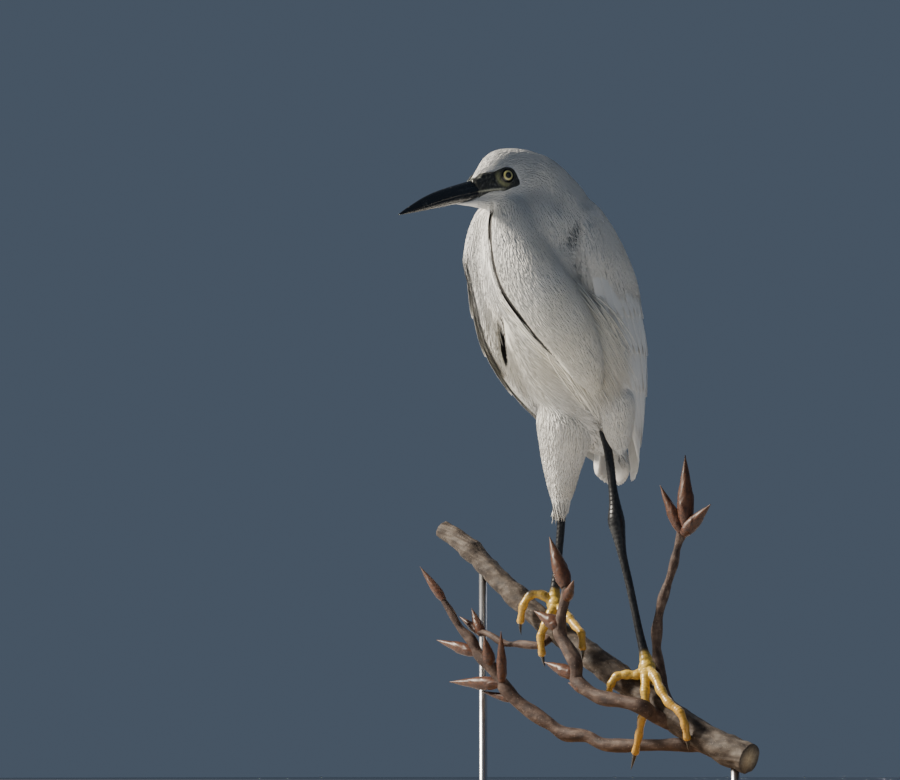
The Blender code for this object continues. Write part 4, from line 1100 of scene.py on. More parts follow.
class SkinField:
    """The skin as a smooth field: a normal and a height over the skin at any place near it.

    Every skin point adds its normal and its plane's level to the eight grid corners round it, these sums
    are blurred, and a place reads them between its corners. Its height is normal dot place less level,
    less what the skin points near it themselves stand over that smooth field.
    """

    def __init__(self, points: Array, normals: Array, cell: float = 2.2, blurs: int = 2) -> None:
        """Fills and blurs the grid."""
        self.cell = cell
        self.low = points.min(0) - 6 * cell
        self.shape = np.ceil((points.max(0) - self.low) / cell).astype(int) + 7
        ones = np.ones(len(points))
        self.rise = np.zeros((int(np.prod(self.shape)), 2))
        self.grid = self.spread(points, np.column_stack([normals, (normals * points).sum(1), ones]), blurs)
        _, rise = self.read(points, normals)
        self.rise = self.spread(points, np.column_stack([rise, ones]), 1)

    def spread(self, points: Array, data: Array, blurs: int) -> Array:
        """Sums the points' data on the grid corners round them and blurs the sums."""
        grid = np.zeros((len(self.rise), data.shape[1]))
        for weight, index in self.corners(points):
            for column in range(data.shape[1]):
                grid[:, column] += np.bincount(index, data[:, column] * weight, minlength=len(grid))
        grid = grid.reshape(*self.shape, -1)
        for _ in range(blurs):
            for axis in range(3):
                grid = 0.5 * grid + 0.25 * (np.roll(grid, 1, axis) + np.roll(grid, -1, axis))
        return grid.reshape(len(self.rise), -1)

    def corners(self, points: Array) -> list[tuple[Array, Array]]:
        """The weight and flat index of each of the eight grid corners round each point."""
        place = np.clip((points - self.low) / self.cell, 0, self.shape - 2.001)
        base = place.astype(int)
        f = place - base
        found = []
        for corner in np.ndindex(2, 2, 2):
            side = np.array(corner)
            weight = np.where(side, f, 1 - f).prod(1)
            index = base + side
            found.append((weight, (index[:, 0] * self.shape[1] + index[:, 1]) * self.shape[2] + index[:, 2]))
        return found

    def read(self, points: Array, fallback: Array) -> tuple[Array, Array]:
        """Normal and height over the skin at each point, or the fallback normal and 0 far from it."""
        corners = self.corners(points)
        total = sum(self.grid[index] * weight[:, None] for weight, index in corners)
        rise = sum(self.rise[index] * weight[:, None] for weight, index in corners)
        size = np.linalg.norm(total[:, :3], axis=1)
        near = size > 0.25 * np.maximum(total[:, 4], 0.02)
        normal = np.where(near[:, None], total[:, :3] / np.maximum(size, 1e-9)[:, None], fallback)
        height = (normal * points).sum(1) - total[:, 3] / np.maximum(size, 1e-9)
        height = height - rise[:, 0] / np.maximum(rise[:, 1], 1e-6)
        return normal, np.where(near, np.clip(height, -4.0, 4.0), 0.0)


def face_outline(forward: Array) -> tuple[Array, Array]:
    """Lower and upper edge of the bare face at a place forward of the eyes."""
    rows = smooth_rows(FACE, 160)[::-1]
    return np.interp(forward, rows[:, 0], rows[:, 1]), np.interp(forward, rows[:, 0], rows[:, 2])


def face_inset(points: Array) -> Array:
    """How far inside the edge of the bare face a place lies, in millimetres, less than 0 outside it."""
    forward, left, up = HEAD_FRAME.into(points)
    low, high = face_outline(forward)
    above = np.maximum(high - up, (forward - 25.0) * 1.5)
    inside = np.minimum(np.minimum(up - low, above), np.minimum(forward + 8.8, 48.0 - forward))
    sides = np.maximum(np.abs(left) - 2.5, (forward - 22.0) * 1.5)
    return np.minimum(inside, sides)


def tube_outside(points: Array, rows: Array) -> tuple[Array, Array]:
    """How far points lie outside a tube of rows, and the row nearest to each."""
    best, where = np.full(len(points), 1e9), np.zeros(len(points), int)
    for row in range(len(rows)):
        apart = np.linalg.norm(points - rows[row, :3], axis=1) - rows[row, 3]
        closer = apart < best
        best[closer], where[closer] = apart[closer], row
    return best, where


def fold(points: Array, normals: Array, index: int) -> Array:
    """How much of a fold's depth a place has: all of it on its line, less beside it and towards its ends.

    The share falls off as exp(-(distance / half width)^2). For a narrow cut the power is 4 and the
    distance is the one seen from the side that the folds face, and skin that faces away has none.

    Args:
        points: the places.
        normals: the skin's normals there.
        index: which fold.

    Returns:
        Shares from 0 to 1.
    """
    _, width, narrow, way = FOLDS[index]
    rows = smooth_rows(way, 120)
    side = np.asarray(FOLD_SIDE)
    if narrow:
        where, gap = nearest(points - np.outer(points @ side, side), rows - np.outer(rows @ side, side))
        gap = gap + 0.2 * np.maximum(np.abs((points - rows[where]) @ side) - 22.0, 0.0)
        gap = gap + 6.0 * step(0.08, -0.12, normals @ side)
    else:
        where, gap = nearest(points, rows)
    ends = np.interp(where / 119.0, (0.0, 0.06, 0.75, 1.0), (0.4, 1.0, 1.0, 0.1))
    return ends * np.exp(-((gap / (width * (0.5 + 0.5 * ends))) ** (4 if narrow else 2)))


def crease(points: Array, normals: Array) -> Array:
    """The larger of the two narrow folds' shares."""
    return np.maximum(fold(points, normals, 0), fold(points, normals, 1))


def sweep(points: Array) -> Array:
    """How far the breast's feathers swing over to the bird's left, below the fold under the neck."""
    width, front, back = BodySurface(TORSO).sizes(points[:, 2])
    middle, depth = (front + back) / 2, (back - front) / 2
    angle = np.degrees(np.arctan2(points[:, 0] / width, (middle - points[:, 1]) / depth))
    inside = step(-40.0, -8.0, angle) * step(95.0, 65.0, angle)
    return inside * step(288.0, 258.0, points[:, 2]) * step(150.0, 166.0, points[:, 2])


class Plumage:
    """Which zone of plumage a place on the skin belongs to and which way its feathers lie."""

    blend: float = 2.2

    def __init__(self) -> None:
        """Reads the forms that the zones follow."""
        self.tubes = {
            Zone.NAPE: smooth_rows(NECK_UPPER, 40),
            Zone.THROAT: smooth_rows(NECK_LOWER, 60),
            Zone.THIGH_LEFT: smooth_rows(THIGHS["left"], 40),
            Zone.THIGH_RIGHT: smooth_rows(THIGHS["right"], 40),
        }
        self.torso = BodySurface(TORSO)
        self.wings = {Zone.WING_LEFT: WingForm(Side.LEFT), Zone.WING_RIGHT: WingForm(Side.RIGHT)}

    def read(self, points: Array, normals: Array) -> tuple[Array, Array, Array, Array, Array]:
        """Zones, lie, the place along and across a wing, and what a wing hides.

        A place takes the zone whose form it lies least outside of, and its lie is the mean of the zones'
        own, each weighed by exp(-(its distance - the least) / blend).

        Args:
            points: places on the skin.
            normals: the skin's normals there.

        Returns:
            Zone numbers, unit lie directions, shares along the wing, shares across it and the hidden places.
        """
        count = len(points)
        apart = np.full((len(Zone), count), 99.0)
        lie = np.zeros((len(Zone), count, 3))
        along, across = np.ones(count), np.ones(count)
        hidden = np.zeros(count, bool)
        apart[Zone.HEAD.value] = HEAD_FRAME.outside(points)
        lie[Zone.HEAD.value] = -HEAD_FRAME.forward - 0.12 * HEAD_FRAME.up
        apart[Zone.BREAST.value] = self.torso.outside(points)
        outward = np.clip(points[:, 0] / 40.0, -1, 1)
        swing = sweep(points)
        lie[Zone.BREAST.value] = np.stack(
            [0.16 * outward + 0.80 * swing, 0.34 - 0.20 * swing, np.full(count, -1.0)], -1
        )
        for zone, rows in self.tubes.items():
            apart[zone.value], where = tube_outside(points, rows)
            lie[zone.value] = unit(np.gradient(rows[:, :3], axis=0))[where]
        for zone, form in self.wings.items():
            a, c = np.meshgrid(np.linspace(0, form.core_end, 46), np.linspace(0, 1, 30), indexing="ij")
            level = form.level(a)
            where, gap = nearest(points, form.place(a, c, level).reshape(-1, 3))
            run = unit(form.place(a + 0.02, c, -4.0) - form.place(a, c, -4.0)).reshape(-1, 3)
            facing = unit(form.place(a, c, 4.0) - form.place(a, c, -4.0)).reshape(-1, 3)[where]
            out = form.surface.outside(points * (form.side.sign, 1, 1)) - level.ravel()[where]
            apart[zone.value] = np.where((gap < 4.5) & (out > -4.0), np.minimum(np.abs(out), gap) - 1.5, 99.0)
            lie[zone.value] = run[where]
            hidden |= (gap < 9.0) & (out < -3.0) & ((normals * facing).sum(1) < -0.2)
            taken = apart[zone.value] < 20.0
            along[taken], across[taken] = a.ravel()[where][taken], c.ravel()[where][taken]
        weight = np.exp(-(apart - apart.min(0)) / self.blend)
        mean = unit((lie * weight[..., None]).sum(0))
        wave = 0.08 * ripple(points, 19.0, 77) + 0.03 * ripple(points, 7.0, 78)
        mean = unit(mean + wave[:, None] * np.cross(mean, normals))
        return apart.argmin(0), mean, along, across, hidden


@dataclass(frozen=True)
class CoatStyle:
    """How one zone's tufts are set and shaped, in millimetres."""

    spacing: float
    short: float
    long: float
    width: float
    thickness: float
    lift: float
    stray: float


COAT_STYLES = {
    Zone.HEAD: CoatStyle(0.95, 5.5, 9.5, 1.20, 0.12, 0.20, 0.06),
    Zone.NAPE: CoatStyle(1.22, 12.0, 20.0, 1.40, 0.10, 0.20, 0.06),
    Zone.THROAT: CoatStyle(1.40, 13.0, 22.0, 1.45, 0.10, 0.20, 0.06),
    Zone.BREAST: CoatStyle(1.60, 15.0, 26.0, 1.60, 0.11, 0.24, 0.06),
    Zone.THIGH_LEFT: CoatStyle(1.40, 8.0, 15.0, 1.50, 0.18, 0.60, 0.12),
    Zone.THIGH_RIGHT: CoatStyle(1.42, 10.0, 18.0, 1.50, 0.16, 0.45, 0.09),
    Zone.WING_LEFT: CoatStyle(1.60, 13.0, 21.0, 2.20, 0.11, 0.24, 0.05),
    Zone.WING_RIGHT: CoatStyle(1.60, 13.0, 21.0, 2.20, 0.11, 0.24, 0.05),
}
PATCH = 0.003
# Where the hem of a thigh's feathers starts along it, and how much longer its tufts grow.
HEMS = {Zone.THIGH_LEFT: (0.55, 0.15), Zone.THIGH_RIGHT: (0.66, 0.20)}


AXIS_TABLES = {
    Zone.NAPE: NECK_UPPER,
    Zone.THROAT: NECK_LOWER,
    Zone.THIGH_LEFT: THIGHS["left"],
    Zone.THIGH_RIGHT: THIGHS["right"],
}


def unwrap(zone: Zone, points: Array) -> Array:
    """Where places fall on an unwrap of their zone's own skin: the turn round its axis, the share along it.

    Args:
        zone: the part of the plumage.
        points: places on the skin.

    Returns:
        One map place per point.
    """
    if zone is Zone.HEAD:
        forward, left, up = HEAD_FRAME.into(points)
        turn, along = np.arctan2(left, up + 3.0), (forward + 60.0) / 120.0
    elif zone in AXIS_TABLES:
        rows = smooth_rows(AXIS_TABLES[zone], 60)
        where, _ = nearest(points, rows[:, :3])
        apart = points - rows[where, :3]
        turn, along = np.arctan2(apart[:, 0], -apart[:, 1]), where / 60.0 + 0.0006 * apart[:, 2]
    else:
        turn, along = np.arctan2(points[:, 0], -(points[:, 1] + 20.0)), (points[:, 2] - 90.0) / 280.0
    return np.clip(np.stack([turn / (2 * math.pi) + 0.5, along], -1), 0.002, 0.996)


@dataclass
class Tufts:
    """Lanceolate tufts rooted in the skin, each walking over it along the lie of its zone."""

    field_of_skin: SkinField
    columns: int = 3
    shares: tuple = (0.0, 0.28, 0.56, 0.82, 1.0)
    widths: tuple = (0.62, 1.0, 0.96, 0.66, 0.05)
    depths: tuple = (0.9, 1.0, 0.8, 0.5, 0.08)
    sink: float = 0.45

    def build(self, roots: Array, normals: Array, lie: Array, length: Array, width: Array, style: CoatStyle,
              seed: int, grip: Array) -> Shape:
        """Walks every tuft over the skin at once, station by station, and gives it its blade.

        A step goes along the lie, turned a little by the tuft's own stray, then the station is put back to
        its height over the skin, which grows from under it at the root to the lift at the tip.

        Args:
            roots: where they grow.
            normals: the skin's normals there.
            lie: the way they point.
            length: of each.
            width: of each.
            style: the zone's thickness, lift and stray.
            seed: of the stray.
            grip: of each, 1 keeps it to the skin and 0 lets it hang straight on.

        Returns:
            The tufts' shape.
        """
        rng = np.random.default_rng(seed)
        count = len(roots)
        grip = grip[:, None]
        sideways = unit(np.cross(lie, normals))
        heading = unit(lie + sideways * rng.normal(0, style.stray, count)[:, None])
        drift = rng.normal(0, style.stray * 0.6, count)[:, None]
        lift = style.lift * rng.uniform(0.6, 1.4, count)
        _, bias = self.field_of_skin.read(roots, normals)
        place = roots - normals * self.sink
        normal = normals
        centre, facing = [place], [normal]
        for before, share in zip(self.shares[:-1], self.shares[1:]):
            heading = unit(heading - normal * (heading * normal).sum(1)[:, None] * grip + sideways * drift * 0.5)
            moved = place + heading * (length * (share - before))[:, None]
            found, height = self.field_of_skin.read(moved, normal)
            normal = unit(normal + (found - normal) * grip)
            wanted = bias * (1 - share) ** 2 - self.sink * (1 - share) + lift * share**1.2 + 0.10
            place = moved + normal * (wanted - height)[:, None] * grip
            centre.append(place)
            facing.append(normal)
        half = width[:, None] * 0.5 * np.asarray(self.widths)
        crown = style.thickness * np.asarray(self.depths) * np.ones((count, 1))
        shape = ribbons(np.stack(centre, 1), np.stack(facing, 1), half, crown, self.columns)
        shape.values["Shade"] = np.repeat(rng.random(count), len(self.shares) * self.columns)
        return shape

    def map_to(self, shape: Shape, places: Array, count: int) -> None:
        """Gives each tuft its own small patch at its root's place on the zone's unwrap."""
        size = len(self.shares) * self.columns
        corner = np.repeat(places, size, axis=0)
        spread = np.stack([shape.values["Across"] - 0.5, shape.values["Along"] - 0.5], -1)
        shape.maps["OFBake"] = corner + spread * PATCH


def thinned(points: Array, spacing: float, keep: Array) -> Array:
    """Indices of kept points, at most one to each cube of that spacing."""
    index = np.flatnonzero(keep)
    cube = np.floor(points[index] / spacing).astype(int)
    _, first = np.unique(cube, axis=0, return_index=True)
    return index[np.sort(first)]


@dataclass
class Coat:
    """The tufts of every zone, one piece each."""

    skin: Skin
    plumage: Plumage
    candidates: int = 420000
    first_spacing: float = 1.0
    chin_end: float = 28.0
    mantle_end: float = 0.31
    mantle_edges: tuple = (0.13, 0.16)
    vanes_from: tuple = (0.08, 0.24)

    def build(self) -> list[bpy.types.Object]:
        """Scatters roots, sorts them into zones, thins them and grows each zone's tufts."""
        points, normals = self.skin.scatter(self.candidates, 11)
        kept = thinned(points, self.first_spacing, (face_inset(points) < 0.2) & ~self.chin_tip(points) & (crease(points, normals) < 0.28))
        points, normals = points[kept], normals[kept]
        zones, lie, along, across, hidden = self.plumage.read(points, normals)
        over_skin = SkinField(self.skin.points, self.skin.normals)
        rng = np.random.default_rng(61)
        pieces = []
        for zone in Zone:
            style = COAT_STYLES[zone]
            grown = (zones == zone.value) & ~hidden
            if zone in self.plumage.wings:
                edge = self.mantle_edges[zone.value - Zone.WING_LEFT.value]
                end = self.mantle_end + 0.02 * ripple(points, 16.0, 91) + rng.normal(0, 0.018, len(points))
                grown &= (along < end) | (across < edge * step(0.75, 0.45, along))
                tufts = Tufts(self.over_vanes(self.plumage.wings[zone], over_skin))
            else:
                tufts = Tufts(over_skin)
            index = thinned(points, style.spacing, grown)
            shape = self.zone_shape(tufts, zone, style, points[index], normals[index], lie[index])
            name = "coat_" + zone.name.lower()
            pieces.append(shape.mesh(name))
            LOG.info("%s: %d tufts", name, len(index))
        return pieces

    def over_vanes(self, form: WingForm, over_skin: SkinField) -> SkinField:
        """The skin with a wing's plate carried on at the height of its mantle, as the vanes fill it up."""
        along, across = np.meshgrid(np.linspace(form.mantle - 0.04, 0.6, 90), np.linspace(0, 1, 70), indexing="ij")
        filled = (form.core_top + form.shoulder - form.level(along)) * step(*self.vanes_from, across)
        level = form.level(along) + filled - self.skin.coat_depth
        cover = form.place(along, across, level).reshape(-1, 3)
        facing = unit(form.place(along, across, level + 4.0).reshape(-1, 3) - cover)
        _, height = over_skin.read(cover, facing)
        cover = cover + facing * np.maximum(-height, 0.0)[:, None]
        _, gap = nearest(self.skin.points, cover.reshape(*along.shape, 3)[8:].reshape(-1, 3)[::5])
        apart = gap > 6.0
        return SkinField(
            np.concatenate([self.skin.points[apart], cover]), np.concatenate([self.skin.normals[apart], facing])
        )

    def chin_tip(self, points: Array) -> Array:
        """Whether a place lies on the thin tip of the chin under the bill, which is too fine for tufts."""
        return (HEAD_FRAME.into(points)[0] > self.chin_end) & (HEAD_FRAME.outside(points) < 2.0)

    def before_crease(self, roots: Array, normals: Array, lie: Array, length: Array) -> Array:
        """The share of its length that each tuft can grow before it would lie across the fold at the neck."""
        free = np.ones(len(roots))
        for share in (1.0, 0.85, 0.7, 0.55, 0.4, 0.25, 0.1):
            met = crease(roots + lie * (length * share)[:, None], normals) > 0.12
            free[met] = share
        return np.maximum(free - 0.1, 0.12)

    def zone_shape(self, tufts: Tufts, zone: Zone, style: CoatStyle, roots: Array, normals: Array,
                   lie: Array) -> Shape:
        """One zone's tufts, shorter beside the bare face and at the bill, longest where the style says.

        Args:
            tufts: what grows them.
            zone: the part of the plumage.
            style: its spacing, lengths and lift.
            roots: where they grow.
            normals: the skin's normals there.
            lie: the way they point.

        Returns:
            The tufts with their map and values.
        """
        rng = np.random.default_rng(100 + zone.value)
        count = len(roots)
        share = rng.random(count) * 0.6 + 0.4 * (0.5 + 0.5 * ripple(roots, 26.0, zone.value))
        length = style.short + (style.long - style.short) * share
        width = style.width * rng.uniform(0.8, 1.25, count)
        grip = np.ones(count)
        if zone is Zone.HEAD:
            forward, _, _ = HEAD_FRAME.into(roots)
            front = np.maximum(step(-16.0, 26.0, forward), 0.8 * step(-8.0, 0.0, face_inset(roots)))
            length *= 1.0 - 0.64 * front
            width *= 1.0 - 0.42 * front
        elif zone is Zone.BREAST:
            length *= 1.0 + 0.45 * sweep(roots)
            width *= 1.0 - 0.25 * sweep(roots)
        elif zone in HEMS:
            rows = smooth_rows(AXIS_TABLES[zone], 60)
            where, _ = nearest(roots, rows[:, :3])
            hem = step(HEMS[zone][0], 0.97, where / 59.0)
            length *= 1.0 + HEMS[zone][1] * hem
            grip -= 0.92 * hem
            inwards = unit(rows[where, :3] - roots)
            lie = unit(lie + (0.10 * hem)[:, None] * inwards)
        if zone in (Zone.NAPE, Zone.THROAT, Zone.BREAST):
            beyond = step(0.0, 22.0, HEAD_FRAME.outside(roots))
            width *= 0.62 + 0.38 * beyond
            length *= 0.60 + 0.40 * beyond
            length *= self.before_crease(roots, normals, lie, length)
        shape = tufts.build(roots, normals, lie, length, width, style, 200 + zone.value, grip)
        tufts.map_to(shape, unwrap(zone, roots), count)
        shape.values["Warmth"] = warmth(shape.points)
        return shape


@dataclass(frozen=True)
class Wisps:
    """A sheaf of long hair-like plumes laid over a surface, between a row of roots and a row of tips.

    Roots and tips are pairs of ends, each an angle round the body from the breast and a height.
    """

    surface: tuple
    count: int
    roots: tuple
    tips: tuple
    lift: tuple
    stray: tuple
    widths: tuple = (0.08, 0.55, 0.9, 1.0, 0.9, 0.6, 0.05)

    def lay(self, rng: np.random.Generator) -> Shape:
        """Lays every plume over the surface from its root to its tip.

        Each runs in a straight line of body angle and height, bowed a little, and lifted from under the
        coat to over it, between a root and a tip at the same share of their two rows.

        Args:
            rng: draws the shares and the strays.

        Returns:
            The plumes with their map and values.
        """
        surface = BodySurface(self.surface)
        share = rng.random(self.count)[:, None]
        start, end = (np.asarray(a) + (np.asarray(b) - a) * share for a, b in (self.roots, self.tips))
        start = start + rng.normal(0, self.stray, (self.count, 2))
        end = end + rng.normal(0, self.stray, (self.count, 2))
        station = np.linspace(0, 1, len(self.widths))
        path = start[:, None] + (end - start)[:, None] * station[None, :, None]
        path[..., 0] += rng.normal(0, 2.2, self.count)[:, None] * np.sin(station * math.pi)
        level = np.interp(station, np.linspace(0, 1, len(self.lift)), self.lift)
        lift = level + rng.uniform(-0.9, 0.9, self.count)[:, None]
        centre = surface.at(path[..., 0], path[..., 1], lift)
        normal = unit(surface.at(path[..., 0], path[..., 1], lift + 5.0) - centre)
        half = rng.uniform(0.30, 0.75, self.count)[:, None] * self.widths
        shape = ribbons(centre, normal, half, 0.30 * half + 0.05, 3)
        size = len(self.widths) * 3
        shape.values["Shade"] = np.repeat(rng.random(self.count), size)
        shape.values["Warmth"] = np.clip(warmth(shape.points) + 0.15, 0, 1)
        corner = np.repeat(unwrap(Zone.BREAST, centre[:, 0]), size, axis=0)
        spread = np.stack([shape.values["Across"] - 0.5, shape.values["Along"] - 0.5], -1)
        shape.maps["OFBake"] = corner + spread * PATCH
        return shape


WISPS = (
    Wisps(
        WING_SURFACE, 620, ((30.0, 236.0), (60.0, 262.0)), ((50.0, 172.0), (92.0, 204.0)),
        (-19.0, -2.0, 1.4, 1.2, 0.2), (4.0, 7.0),
    ),
    Wisps(
        TORSO, 460, ((-14.0, 266.0), (24.0, 214.0)), ((52.0, 190.0), (76.0, 158.0)),
        (-1.5, 0.6, 1.2, 1.6, 1.2), (5.0, 7.0),
    ),
)


@dataclass(frozen=True)
class Tier:
    """One row of a wing's feathers: how many, from where to where along it, and how far tips fan out."""

    count: int
    root: float
    tip: float
    spread: float
    width: float = 1.30


WING_TIERS = (
    Tier(9, 0.60, 0.985, 0.05),
    Tier(11, 0.50, 0.87, 0.05),
    Tier(13, 0.38, 0.70, 0.045),
    Tier(15, 0.28, 0.56, 0.04),
    Tier(17, 0.20, 0.44, 0.03),
)
VANE_STATIONS = np.array((0.0, 0.14, 0.30, 0.46, 0.62, 0.77, 0.88, 0.955, 1.0))
VANE_WIDTHS = np.array((0.55, 0.82, 0.95, 1.0, 1.0, 0.95, 0.80, 0.52, 0.06))
VANE_RISE = ((0.0, -2.6), (0.34, 1.0), (0.82, 2.5), (1.0, 3.0))


@dataclass
class FoldedWing:
    """The folded wing's feathers in tiers, each tier lying over the roots of the one below."""

    side: Side
    columns: int = 9
    thickness: float = 0.20
    edge: float = 0.05
    roll: float = 0.16
    lows: tuple = (0.06, 0.10)

    def build(self) -> bpy.types.Object:
        """Lays out every vane and joins them."""
        form = WingForm(self.side)
        rng = np.random.default_rng(60 + int(self.side.sign))
        tiers = [self.tier(form, tier, rng) for tier in WING_TIERS]
        return Shape.joined(tiers).mesh("feathers_" + self.side.word)

    def tier(self, form: WingForm, tier: Tier, rng: np.random.Generator) -> Shape:
        """One tier of vanes, each a thin closed sheet that follows the wing's own curve.

        A vane's middle line runs along the wing at its share across; its tip is drawn back towards both
        edges by the tier's spread times 1 - 1.5 |share - 0.62|. Its upper face stands over its lower by the
        edge's thickness plus the vane's times 1 - t^2, and both sink by the roll times t from the leading
        side to the back, t running from -1 to 1 across the vane, so that each laps over the one before it.

        Args:
            form: where the wing lies.
            tier: the row.
            rng: gives the small unevenness.

        Returns:
            The tier's vanes.
        """
        low = self.lows[self.side is Side.RIGHT]
        share = (np.arange(tier.count) + 0.5) / tier.count
        arch = 1.0 - np.abs(share - 0.62) * 1.5
        tip = np.minimum(tier.tip + tier.spread * (arch - 0.5) + rng.normal(0, 0.004, tier.count), 0.99)
        along = tier.root + (tip - tier.root)[:, None] * VANE_STATIONS
        middle = low + (1.0 - low) * share[:, None] + rng.normal(0, 0.004, tier.count)[:, None] * VANE_STATIONS
        half = tier.width * (1.0 - low) / tier.count / 2 * VANE_WIDTHS
        first, last = np.maximum(middle - half, low - 0.015), np.minimum(middle + half, 1.0)
        t = np.linspace(-1.0, 1.0, self.columns)
        across = first[..., None] + (last - first)[..., None] * (t + 1.0) / 2
        rise = np.interp(VANE_STATIONS, *np.transpose(VANE_RISE))
        level = (form.core_top + rise + rng.normal(0, 0.06, tier.count)[:, None])[..., None] - self.roll * t
        crown = self.edge + self.thickness * VANE_WIDTHS[:, None] * (1.0 - t**2)
        upper = form.place(along[..., None], across, level + crown)
        lower = form.place(along[..., None], across, level)
        shares = np.concatenate([t, t[::-1]]) / 2 + 0.5
        shape = outward(blades(np.concatenate([upper, lower[..., ::-1, :]], axis=2), shares))
        shape.values["Shade"] = np.repeat(rng.random(tier.count), along.shape[1] * self.columns * 2)
        shape.values["Warmth"] = 0.3 * warmth(shape.points)
        return shape


@dataclass
class Tail:
    """The short square tail, its feathers fanned and stacked."""

    root: tuple = (0.0, 31.0, 172.0)
    length: float = 53.0
    lean: float = 13.0
    fan: float = 15.0
    count: int = 12
    width: float = 11.5
    thickness: float = 0.55

    def build(self) -> bpy.types.Object:
        """Lays out the feathers."""
        lean = math.radians(self.lean)
        root = np.array(self.root)
        down = np.array((0.0, math.sin(lean), -math.cos(lean)))
        out = np.array((0.0, math.cos(lean), math.sin(lean)))
        share = (np.arange(self.count) + 0.5) / self.count * 2.0 - 1.0
        spread = np.radians(self.fan) * share
        heading = down * np.cos(spread)[:, None] + np.outer(np.sin(spread), (1.0, 0.0, 0.0))
        length = self.length * (1.0 - 0.16 * share**2)
        start = root + np.outer(share * 4.0, (1.0, 0.0, 0.0))
        level = 1.6 - np.abs(share) * 4.2
        bow = np.sin(VANE_STATIONS * math.pi)
        centre = (
            start[:, None]
            + heading[:, None] * (length[:, None] * VANE_STATIONS)[..., None]
            + out * (level[:, None] + bow)[..., None]
        )
        half = np.outer(np.ones(self.count), VANE_WIDTHS) * self.width / 2
        crown = np.full(half.shape, self.thickness)
        shape = ribbons(centre, np.broadcast_to(out, centre.shape), half, crown, 7)
        rng = np.random.default_rng(70)
        shape.values["Shade"] = np.repeat(rng.random(self.count), half.shape[1] * 7)
        shape.values["Warmth"] = 0.3 * warmth(shape.points)
        return shape.mesh("tail_feathers")


@dataclass
class BareFace:
    """The bare skin from the bill to behind the eye, with the ring of the lids and the line of the mouth."""

    side: Side
    rows: int = 150
    columns: int = 72
    sunk: float = 0.15
    shell: float = 2.2
    margin: float = 1.8
    front: float = 26.0
    back: float = -10.6
    opening: float = 46.0
    lid: float = 0.42

    def eye_turn(self, forward: Array, up: Array) -> tuple[Array, Array]:
        """The angle from the eye's axis in degrees and how far out the eyeball's side stands.

        Args:
            forward: places forward of the eyes.
            up: their heights.

        Returns:
            The angles and the distances out, on the ball where it stands over the place.
        """
        middle, axis = HEAD_FRAME.eye(self.side)
        ahead, out, rise = EYE_MIDDLE
        ball = out + np.sqrt(np.maximum(EYE_RADIUS**2 - (forward - ahead) ** 2 - (up - rise) ** 2, 0.0))
        points = HEAD_FRAME.out(forward, ball * self.side.sign, up)
        return np.degrees(np.arccos(np.clip(unit(points - middle) @ axis, -1.0, 1.0))), ball

    def build(self) -> bpy.types.Object:
        """Lays a thin closed shell over the side of the head, sunk under the coat at its rim.

        Its height outwards is the larger of the head's and the chin's half widths; round the eye it rises
        to the ball plus the lid's thickness and drops away inside the opening, where the ball comes
        through. Along the mouth it carries a ridge 0.3 exp(-(d / 0.7)^2), d being the height over the line.

        Returns:
            The piece, with how yellow each place is and how near the lids' dark rim.
        """
        forward = np.linspace(self.front, self.back, self.rows)
        low, high = face_outline(forward)
        top = np.interp(forward, HEAD_FRAME.rows[:, 0], HEAD_FRAME.rows[:, 2])
        low, high = (low - self.margin)[:, None], np.minimum(high + self.margin, top - 1.2)[:, None]
        up = low + (high - low) * np.linspace(0, 1, self.columns)
        forward = np.repeat(forward[:, None], self.columns, 1)
        base = np.maximum(HEAD_FRAME.half_width(forward, up), HEAD_FRAME.chin_width(forward, up)) - self.sunk
        turn, ball = self.eye_turn(forward, up)
        wall = base + np.maximum(ball + self.lid - base, 0.0) * step(80.0, 60.0, turn)
        wall += 0.30 * np.exp(-(((turn - 51.0) / 4.5) ** 2)) + 0.16 * np.exp(-(((turn - 66.0) / 4.0) ** 2))
        wall -= 4.0 * step(self.opening, self.opening - 4.5, turn)
        mouth = np.interp(forward, *np.transpose(GAPE))
        line = np.exp(-(((up - mouth) / 0.7) ** 2)) * step(1.0, 8.0, forward)
        wrinkle = ripple(HEAD_FRAME.out(forward, base, up).reshape(-1, 3), 2.4, 44).reshape(forward.shape)
        wall += 0.30 * line + 0.09 * wrinkle * step(50.0, 70.0, turn)
        inset = np.minimum(np.minimum(up - low, high - up), np.minimum(forward - self.back, self.front - forward))
        wall -= 1.7 * step(1.7, 0.0, inset) + 1.2 * step(19.5, 26.0, forward)
        wall = np.maximum(wall, 0.5)
        outer = HEAD_FRAME.out(forward, wall * self.side.sign, up)
        inner = HEAD_FRAME.out(forward, np.maximum(wall - self.shell, 0.2) * self.side.sign, up)
        rings = np.concatenate([outer, inner[:, ::-1]], axis=1)
        apart = np.hypot(forward - 0.4, up - 0.5)
        facing = ((forward - 0.4) * 0.86 - (up - 0.5) * 0.51) / np.maximum(apart, 0.1)
        yellow = np.exp(-(((apart - 6.9) / 1.5) ** 2)) * step(0.0, 0.9, facing) * 0.9
        yellow = np.clip(yellow + 0.10 * wrinkle, 0, 1)
        mouth = np.clip(line * step(34.0, 16.0, forward) * (0.8 + 0.25 * wrinkle), 0, 1)
        marks = (("Yellow", yellow), ("Mouth", mouth), ("Lid", np.exp(-(((turn - 49.0) / 6.0) ** 2))))
        values = {n: np.concatenate([v, v[:, ::-1]], axis=1) for n, v in marks}
        return outward(closed_rings(rings, values)).mesh("face_" + self.side.word)


